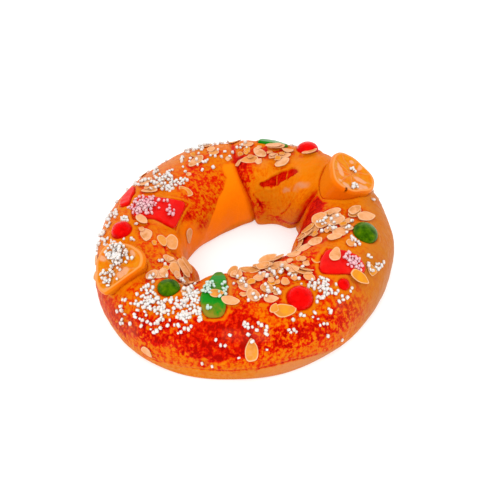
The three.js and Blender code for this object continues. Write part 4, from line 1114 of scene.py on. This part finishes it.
def slice_shape(fruit, seed, x, y, h, share, top):
    """The flesh sinks between raised membranes inside the pith and the peel."""
    place = np.stack([x, y, np.zeros_like(x)], -1)
    phi = np.arctan2(y, x) + 0.12 * cloud(place, 9, seed)
    segment = np.abs(np.sin((phi * SEGMENTS + draws(seed)() * 6.28) / 2))
    thick = MEMBRANE_WIDTH / np.maximum(np.hypot(x, y), 1.5)
    wall = bell(segment / np.maximum(thick * SEGMENTS * 0.35, 0.05))
    face = smooth((FLESH_EDGE - share + 0.03 * cloud(place, 8, seed + 1)) / 0.05) * top
    membrane = 0.3 * wall * face
    for blob_x, blob_y, long, wide, turn in fruit["spec"]["blobs"]:
        u, v = spun(x - blob_x, y - blob_y, -turn)
        blob = 1.2 - np.hypot(u / long, v / wide) + 0.25 * cloud(place, 3, seed + 5)
        membrane = np.maximum(membrane, face * smooth(blob / 0.3))
    marks = {
        "pith": smooth((share - PITH_EDGE) / 0.04) * top, "membrane": membrane,
        "peel": smooth((share - PEEL_EDGE) / 0.03) * top + ~top,
        "flush": np.clip(0.45 + 0.35 * cloud(place, 20, seed + 3), 0, 1), "pip": np.zeros_like(x),
    }
    if "pip" in fruit["spec"]:
        pip_x, pip_y = fruit["spec"]["pip"]
        marks["pip"] = smooth((PIP[0] - np.hypot(x - pip_x, (y - pip_y) * PIP[1])) / 0.6) * top
    lift = MEMBRANE_HEIGHT * membrane - FLESH_DEPTH * face * (1 - wall)
    return lift + clouds(place, SLICE_LUMPS, seed) * top, marks


def cherry_shape(fruit, seed, x, y, h, share, top):
    """The skin is barely uneven."""
    return clouds(np.stack([x, y, h], -1), CHERRY_LUMPS, seed) * top, {}


def strip_shape(fruit, seed, x, y, h, share, top):
    """The middle sinks a little between uneven edges, which look lighter."""
    ragged = clouds(np.stack([x, y, h], -1), STRIP_LUMPS, seed)
    sunk = STRIP_DIP * smooth((0.85 - share) / 0.3)
    edge = 0.08 * smooth((share - 0.8) / 0.15) + 0.22 * smooth((-y / fruit["half"][1] - 0.3) / 0.5)
    return (ragged - sunk) * top, {"edge": edge}


# Each kind's sides and rings, first seed and shape. A cherry's profile is round as it is.
FRUIT_KINDS = {
    "slice": (150, 62, 700, slice_shape), "cherry": (56, None, 720, cherry_shape),
    "strip": (120, 34, 740, strip_shape),
}


def build_fruits():
    finishes = {
        "orange_slice": (slice_material(), "candied_orange"),
        "red_cherry": (cherry_material("candied_red_cherry", "#FF5040", [
            (0.3, "#AC0303"), (0.5, "#C90404"), (0.7, "#D10805"),
        ]), "candied_cherry_red"),
        "green_cherry": (cherry_material("candied_green_cherry", "#90C040", [
            (0.3, "#143600"), (0.5, "#365B00"), (0.72, "#5C6F03"),
        ]), "candied_cherry_green"),
        "red_strip": (strip_material("candied_red_fruit", "#FF5040", [
            (0.3, "#BD0705"), (0.55, "#CE0D08"), (0.8, "#C92312"),
        ]), "candied_fruit_red"),
        "green_strip": (strip_material("candied_green_fruit", "#60D060", [
            (0.3, "#076D0B"), (0.5, "#127614"), (0.62, "#4A6F10"), (0.78, "#7D6D1B"),
        ]), "candied_fruit_green"),
    }
    for k, fruit in enumerate(fruits):
        sides, rings, seed, shape = FRUIT_KINDS[fruit["kind"]]
        profile = rounded_profile(fruit["profile"], rings) if rings else np.array(fruit["profile"])
        phi = 2 * math.pi * np.arange(sides) / sides
        x, y, h, share = ringed_points(profile, fruit["outline"](fruit["spec"], phi))
        top = np.arange(len(profile)) <= np.argmax(profile[:, 0])
        top = np.append(np.repeat(top, sides), [True, False])
        lift, marks = shape(fruit, seed + k, x, y, h, share, top)
        points = laid(fruit["seat"], x, y, h + lift, fruit["bend"])
        material, slot = finishes["_".join(fruit["name"].split("_")[:2])]
        faces = capped_faces(len(profile), sides)
        piece = make_piece("candied_" + fruit["name"], points, faces, marks, material)
        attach(piece, "root")
        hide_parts(fruit["name"])


# -------------------------------------------------------------------------------- flaked almonds
FLAKE_SEED = 77
FLAKE_SIDES = 20
# A flake's rings, as shares of its outline and heights: a raised rim round a flat face.
FLAKE_RINGS = np.array([
    (0.3, 0.36), (0.6, 0.36), (0.82, 0.38), (0.91, 0.46), (0.97, 0.42), (1.0, 0.2), (1.0, -0.2),
    (0.95, -0.38), (0.5, -0.38),
])
FLAKE_BEND = 0.5  # how far a flake follows the crust
FLAKE_OVERLAP = 0.36  # flakes nearer than this share of their lengths lie on each other
FLAKE_STEP = 1.0  # how much higher a flake lies for each one under it
MOST_UNDER = 2
FRUIT_MARGIN = 0.2  # a flake leans on a fruit that is nearer than this share of its length
WIDEST_FLAKE = 11
BROKEN_CHANCE = 0.3
SURELY_BROKEN = 9  # flakes shorter than this are broken, and those of at least WHOLE are not
WHOLE = 15
SHARD_LENGTHS = (5, 9)
SHARD_TILT = 16
OVER_FRUIT = 2.5  # how much higher a flake lies that leans on a cherry or a strip


def flake_points(seat, bend, turn, length, width, tilt, height, curl, broken, draw):
    """One thin curled oval with a narrower end, or what is left of one, and its place in the rim."""
    phi = 2 * math.pi * np.arange(FLAKE_SIDES) / FLAKE_SIDES
    wobble = 1 + 0.04 * np.sin(3 * phi + 6 * draw()) + 0.03 * np.sin(5 * phi + 6 * draw())
    ox = length / 2 * np.cos(phi) * wobble
    taper = 1 - 0.2 * np.cos(phi) - 0.12 * np.maximum(0, np.cos(phi)) ** 4
    oy = width / 2 * np.sin(phi) * taper * wobble
    ox = np.minimum(ox, (broken + 0.15 * oy / width) * length)
    x, y, z, rim = ringed_points(FLAKE_RINGS, (ox, oy))
    z = z + curl * ((x / (length / 2)) ** 2 - 0.3) + 0.3 * curl * (x * y) / (length * width / 4)
    y, z = spun(y, z, tilt)
    x, y = spun(x, y, turn)
    return laid(seat, x, y, z + height, bend), rim


def flake_rows(draw):
    """Each flake's seat, whether it lies on fruit, its turn, length, tilt and tone."""
    rows = [(seat_at(angle, lean), False, *rest) for angle, lean, *rest in FLAKES + MORE_FLAKES]
    for name, at, turn, length, tone in FRUIT_FLAKES:
        rows.append((fruit_seat(fruit_named[name], *at), True, turn, length, 0, tone))
    for angles, leans, count in SHARD_PATCHES:
        for _ in range(count):
            angle, lean = blend(*angles, draw()), blend(*leans, draw())
            turn, length = 360 * draw(), blend(*SHARD_LENGTHS, draw())
            tilt, tone = SHARD_TILT * draw(), draw() ** 2
            if clear_of_fruit(crust(angle, lean), 3):
                rows.append((seat_at(angle, lean), False, turn, length, tilt, tone))
    return rows


def build_flakes():
    """All the flakes as one piece, and how each one rests."""
    draw = draws(FLAKE_SEED)
    pattern = capped_faces(len(FLAKE_RINGS), FLAKE_SIDES)
    points, faces, resting = [], [], []
    marks = {"rim": [], "tone": [], "shade": []}
    raised = [fruit for fruit in fruits if fruit["kind"] != "slice"]
    for seat, on_fruit, turn, length, tilt, tone in flake_rows(draw):
        width = min(WIDEST_FLAKE, (3.5 + 0.4 * length) * (0.8 + 0.3 * draw()))
        height = 0.5 + 0.28 * width * math.sin(math.radians(tilt))
        under = 0
        for other in resting:
            gap = np.linalg.norm(other["seat"]["point"] - seat["point"])
            under += gap < FLAKE_OVERLAP * (length + other["length"])
        height += FLAKE_STEP * min(MOST_UNDER, under)
        leans = [share_of(fruit, seat["point"], length * FRUIT_MARGIN) < 1 for fruit in raised]
        if any(leans) and not on_fruit:
            height += OVER_FRUIT
        curl = 0.3 + 1.2 * draw() ** 2
        breaks = draw() < BROKEN_CHANCE and length < WHOLE
        broken = 0.1 + 0.3 * draw() if breaks or length < SURELY_BROKEN else 1
        bend = 0 if on_fruit else FLAKE_BEND
        made, rim = flake_points(seat, bend, turn, length, width, tilt, height, curl, broken, draw)
        faces.append(np.where(pattern < 0, -1, pattern + sum(len(flake) for flake in points)))
        points.append(made)
        marks["rim"].append(rim)
        marks["tone"].append(np.full(len(made), tone + 0.3 * (draw() - 0.5)))
        marks["shade"].append(np.full(len(made), draw()))
        resting.append({"seat": seat, "turn": turn, "length": length, "width": width, "height": height})
    marks = {label: np.concatenate(values) for label, values in marks.items()}
    points, faces = np.concatenate(points), np.concatenate(faces)
    return make_piece("almond_flakes", points, faces, marks, flake_material()), resting


# ------------------------------------------------------------------------------------ pearl sugar
GRAIN_SHAPE_SEED = 4001
GRAIN_PLACE_SEED = 9001
FRUIT_SUGAR_SEED = 501
FRUIT_REACH = 0.86  # grains lie inside this share of a fruit's outline
TRIES_PER_GRAIN = 8
CLIMBS = 4  # how often a grain may climb
# What shapes the grains: a rounded cube's softness, a seed, and the least and most stretch each way.
GRAIN_INPUTS = (
    ("Roundness", "NodeSocketFloat", 0.3), ("Seed", "NodeSocketInt", 5),
    ("Least", "NodeSocketVector", (0.75, 0.6, 0.6)), ("Most", "NodeSocketVector", (1.35, 0.95, 0.9)),
)


def top_height(fruit, x, y):
    """Height of a fruit's top over a place in its outline, from its profile."""
    share = math.hypot(x / fruit["half"][0], y / fruit["half"][1])
    shares = [0] + [s for s, _ in fruit["profile"]]
    heights = [fruit["profile"][0][1]] + [h for _, h in fruit["profile"]]
    widest = shares.index(max(shares)) + 1
    return float(np.interp(share, shares[:widest], heights[:widest]))


def fruit_seat(fruit, x, y):
    """The seat on a fruit's own top, at x along and y across its outline."""
    height = top_height(fruit, x, y)
    point, ahead, aside = (
        laid(fruit["seat"], x + step_x, y + step_y, height, fruit["bend"])
        for step_x, step_y in ((0, 0), (1, 0), (0, 1))
    )
    along = unit(ahead - point)
    normal = unit(np.cross(along, aside - point))
    return {"point": point, "along": along, "across": np.cross(normal, along), "normal": normal}


def sugar_places(angles, leans, draw, count):
    """The places of a patch's grains, none closer to another than the spacing."""
    places, points = [], np.zeros((0, 3))
    while len(places) < count:
        angle, lean = blend(*angles, draw()), blend(*leans, draw())
        clumped = draw() < CLUMP_CHANCE
        way = draw() * 2 * math.pi
        if clumped and places:
            angle = places[-1][0] + CLUMP_STEP[0] * math.cos(way)
            lean = places[-1][1] + CLUMP_STEP[1] * math.sin(way)
        point = crust(angle, lean)
        if not len(points) or (np.linalg.norm(points - point, axis=1) > GRAIN_SPACING).all():
            places.append((angle, lean))
            points = np.append(points, point[None], axis=0)
    return places


def grains_on_bread(resting):
    """Each grain's middle, normal, size and syrup. A grain over a flake lies on top of it."""
    grains = []
    for index, (angles, leans, count) in enumerate(SUGAR_PATCHES + MORE_SUGAR_PATCHES):
        shapes = draws(GRAIN_SHAPE_SEED + index)
        for angle, lean in sugar_places(angles, leans, draws(GRAIN_PLACE_SEED + index), count):
            seat = seat_at(angle, lean)
            size = blend(*GRAIN_SIZE, shapes())
            if not clear_of_fruit(seat["point"], size * 0.8 - 2):
                continue
            lift = GRAIN_SINK * size
            for flake in resting:
                x, y, _ = seen_from(flake["seat"], seat["point"], flake["turn"])
                if math.hypot(x / (flake["length"] / 2), y / (flake["width"] / 2)) < 1:
                    lift = max(lift, flake["height"] + 0.4 + GRAIN_SEAT * size)
            grains.append((seat["point"] + seat["normal"] * lift, seat["normal"], size, 0))
    return grains


def grains_on_fruit():
    """The same for the heaps on the fruits, where a grain climbs off the ones it touches."""
    grains = []
    for index, (name, middle, reach, count) in enumerate(FRUIT_SUGAR + MORE_FRUIT_SUGAR):
        fruit = fruit_named[name]
        draw = draws(FRUIT_SUGAR_SEED + index)
        # The first rows keep step with the solids' grains, which draw their turns and count each try.
        first = index < len(FRUIT_SUGAR)
        placed = tries = 0
        while placed < count and tries < count * TRIES_PER_GRAIN:
            tries += 1
            x, y = (at + far * (draw() + draw() - 1) for at, far in zip(middle, reach))
            if math.hypot(x / fruit["half"][0], y / fruit["half"][1]) >= FRUIT_REACH:
                placed += first
                continue
            for _ in range(5 if first else 1):
                draw()
            seat = fruit_seat(fruit, x, y)
            size = blend(*FRUIT_GRAIN_SIZE, draw())
            centre = seat["point"] + seat["normal"] * GRAIN_SEAT * size
            for _ in range(CLIMBS):
                if all(np.linalg.norm(grain[0] - centre) >= PILE_GAP for grain in grains):
                    break
                centre = centre + seat["normal"] * PILE_STEP
            if np.linalg.norm(centre - seat["point"]) < HEAP_HEIGHTS.get(name, HEAP_HEIGHT):
                grains.append((centre, seat["normal"], size, SYRUP_AND_REFLECTION.get(name, 0) * (0.5 + 0.5 * draw())))
                placed += 1
    return grains


def sugar_tree():
    """Rounded grains on every point, turned and stretched at random, in one mesh."""
    tree = bpy.data.node_groups.new("pearl_sugar_grains", "GeometryNodeTree")
    sockets = {}
    named = [("Geometry", "NodeSocketGeometry"), ("Material", "NodeSocketMaterial")]
    for label, kind in named + [row[:2] for row in GRAIN_INPUTS]:
        sockets[label] = tree.interface.new_socket(label, in_out="INPUT", socket_type=kind).identifier
    tree.interface.new_socket("Geometry", in_out="OUTPUT", socket_type="NodeSocketGeometry")
    given = add(tree, "NodeGroupInput").outputs
    cube = add(tree, "GeometryNodeMeshCube", {"Size": (1, 1, 1)})
    crease = add(tree, "ShaderNodeMath", (1.0, given["Roundness"]), operation="SUBTRACT")
    rounded = add(tree, "GeometryNodeSubdivisionSurface", {"Mesh": cube, "Level": 1, "Edge Crease": crease})
    smoothed = add(tree, "GeometryNodeSetShadeSmooth", {"Geometry": rounded})
    size = add(tree, "GeometryNodeInputNamedAttribute", {"Name": "size"}, data_type="FLOAT")
    stretch = add(tree, "FunctionNodeRandomValue", {
        "Min": given["Least"], "Max": given["Most"], "Seed": given["Seed"],
    }, data_type="FLOAT_VECTOR")
    scale = add(tree, "ShaderNodeVectorMath", {"Vector": stretch, "Scale": size}, operation="SCALE")
    turn = add(tree, "FunctionNodeRandomValue", {
        "Max": (6.28, 6.28, 6.28), "Seed": given["Seed"],
    }, data_type="FLOAT_VECTOR")
    spread = add(tree, "GeometryNodeInstanceOnPoints", {
        "Points": given["Geometry"], "Instance": smoothed, "Rotation": turn, "Scale": scale,
    })
    real = add(tree, "GeometryNodeRealizeInstances", {"Geometry": spread})
    painted = add(tree, "GeometryNodeSetMaterial", {"Geometry": real, "Material": given["Material"]})
    add(tree, "NodeGroupOutput", {"Geometry": painted})
    return tree, sockets


def build_sugar(resting):
    """All the grains as one piece, each grown on its own point."""
    grains = grains_on_bread(resting) + grains_on_fruit()
    middles = np.array([grain[0] for grain in grains])
    seeds = make_piece("sugar_points", middles, np.zeros((0, 3), int), {
        "size": [grain[2] / 1000 for grain in grains], "syrup": [grain[3] for grain in grains],
    })
    tree, sockets = sugar_tree()
    modifier = seeds.modifiers.new("grains", "NODES")
    modifier.node_group = tree
    for label, _, value in GRAIN_INPUTS:
        modifier[sockets[label]] = value
    modifier[sockets["Material"]] = sugar_material()
    bpy.context.view_layer.update()
    done = bpy.data.meshes.new_from_object(seeds.evaluated_get(bpy.context.evaluated_depsgraph_get()))
    done.name = "pearl_sugar"
    bpy.data.objects.remove(seeds, do_unlink=True)
    piece = bpy.data.objects.new("pearl_sugar", done)
    bpy.context.scene.collection.objects.link(piece)
    return piece


# --------------------------------------------------------------------------------- put it together
bread = build_bread()
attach(bread, "root")
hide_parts("roscon_bread")
build_fruits()
flakes, resting = build_flakes()
sugar = build_sugar(resting)
for scattered, holders in (
    (flakes, [name for name, *_ in FRUIT_FLAKES]),
    (sugar, [name for name, *_ in FRUIT_SUGAR]),
):
    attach(scattered, "root")
    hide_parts("roscon_bread", *holders)

# ------------------------------------------------------------------------- floor, light and camera
FLOOR_REACH = 3  # half the floor's side, in metres
FLOOR_DROP = 0.0005
SKY_STRENGTH = 1.42
SOFT_BOX = {"size": 0.9, "watts": 6, "place": (-0.2, -0.85, 1.05)}
LENS = 72.65
SENSOR_WIDTH = 36
CAMERA_RISE = math.radians(44)
CAMERA_DISTANCE = 0.931
CAMERA_TARGET = Vector((0.00327, -0.0026, 0.025))

scene = bpy.context.scene
floor_mesh = bpy.data.meshes.new("floor")
corners = [(x * FLOOR_REACH, y * FLOOR_REACH, -FLOOR_DROP) for x, y in ((-1, -1), (1, -1), (1, 1), (-1, 1))]
floor_mesh.from_pydata(corners, [], [(0, 1, 2, 3)])
floor = bpy.data.objects.new("floor", floor_mesh)
scene.collection.objects.link(floor)
floor_paint, floor_tree = new_material("pale_studio_floor")
floor_shader = add(floor_tree, "ShaderNodeBsdfPrincipled", {
    "Base Color": hex_colour("#C8C8C8"), "Roughness": 0.9,
    "Emission Color": (1, 1, 1, 1), "Emission Strength": 0.45,
})
add(floor_tree, "ShaderNodeOutputMaterial", [floor_shader])
floor_mesh.materials.append(floor_paint)

world = bpy.data.worlds.new("studio")
scene.world = world
world.use_nodes = True
world.node_tree.nodes["Background"].inputs["Color"].default_value = (1, 1, 1, 1)
world.node_tree.nodes["Background"].inputs["Strength"].default_value = SKY_STRENGTH

lamp = bpy.data.lights.new("soft_box", "AREA")
lamp.shape = "DISK"
lamp.size = SOFT_BOX["size"]
lamp.energy = SOFT_BOX["watts"]
soft_box = bpy.data.objects.new("soft_box", lamp)
soft_box.location = SOFT_BOX["place"]
soft_box.rotation_euler = (-soft_box.location).to_track_quat("-Z", "Y").to_euler()
scene.collection.objects.link(soft_box)

camera_data = bpy.data.cameras.new("camera")
camera_data.sensor_width = SENSOR_WIDTH
camera_data.lens = LENS
camera = bpy.data.objects.new("camera", camera_data)
away = Vector((0, -math.cos(CAMERA_RISE), math.sin(CAMERA_RISE)))
camera.location = CAMERA_TARGET + away * CAMERA_DISTANCE
camera.rotation_euler = (math.pi / 2 - CAMERA_RISE, 0, 0)
scene.collection.objects.link(camera)
scene.camera = camera
scene.view_settings.view_transform = "Standard"
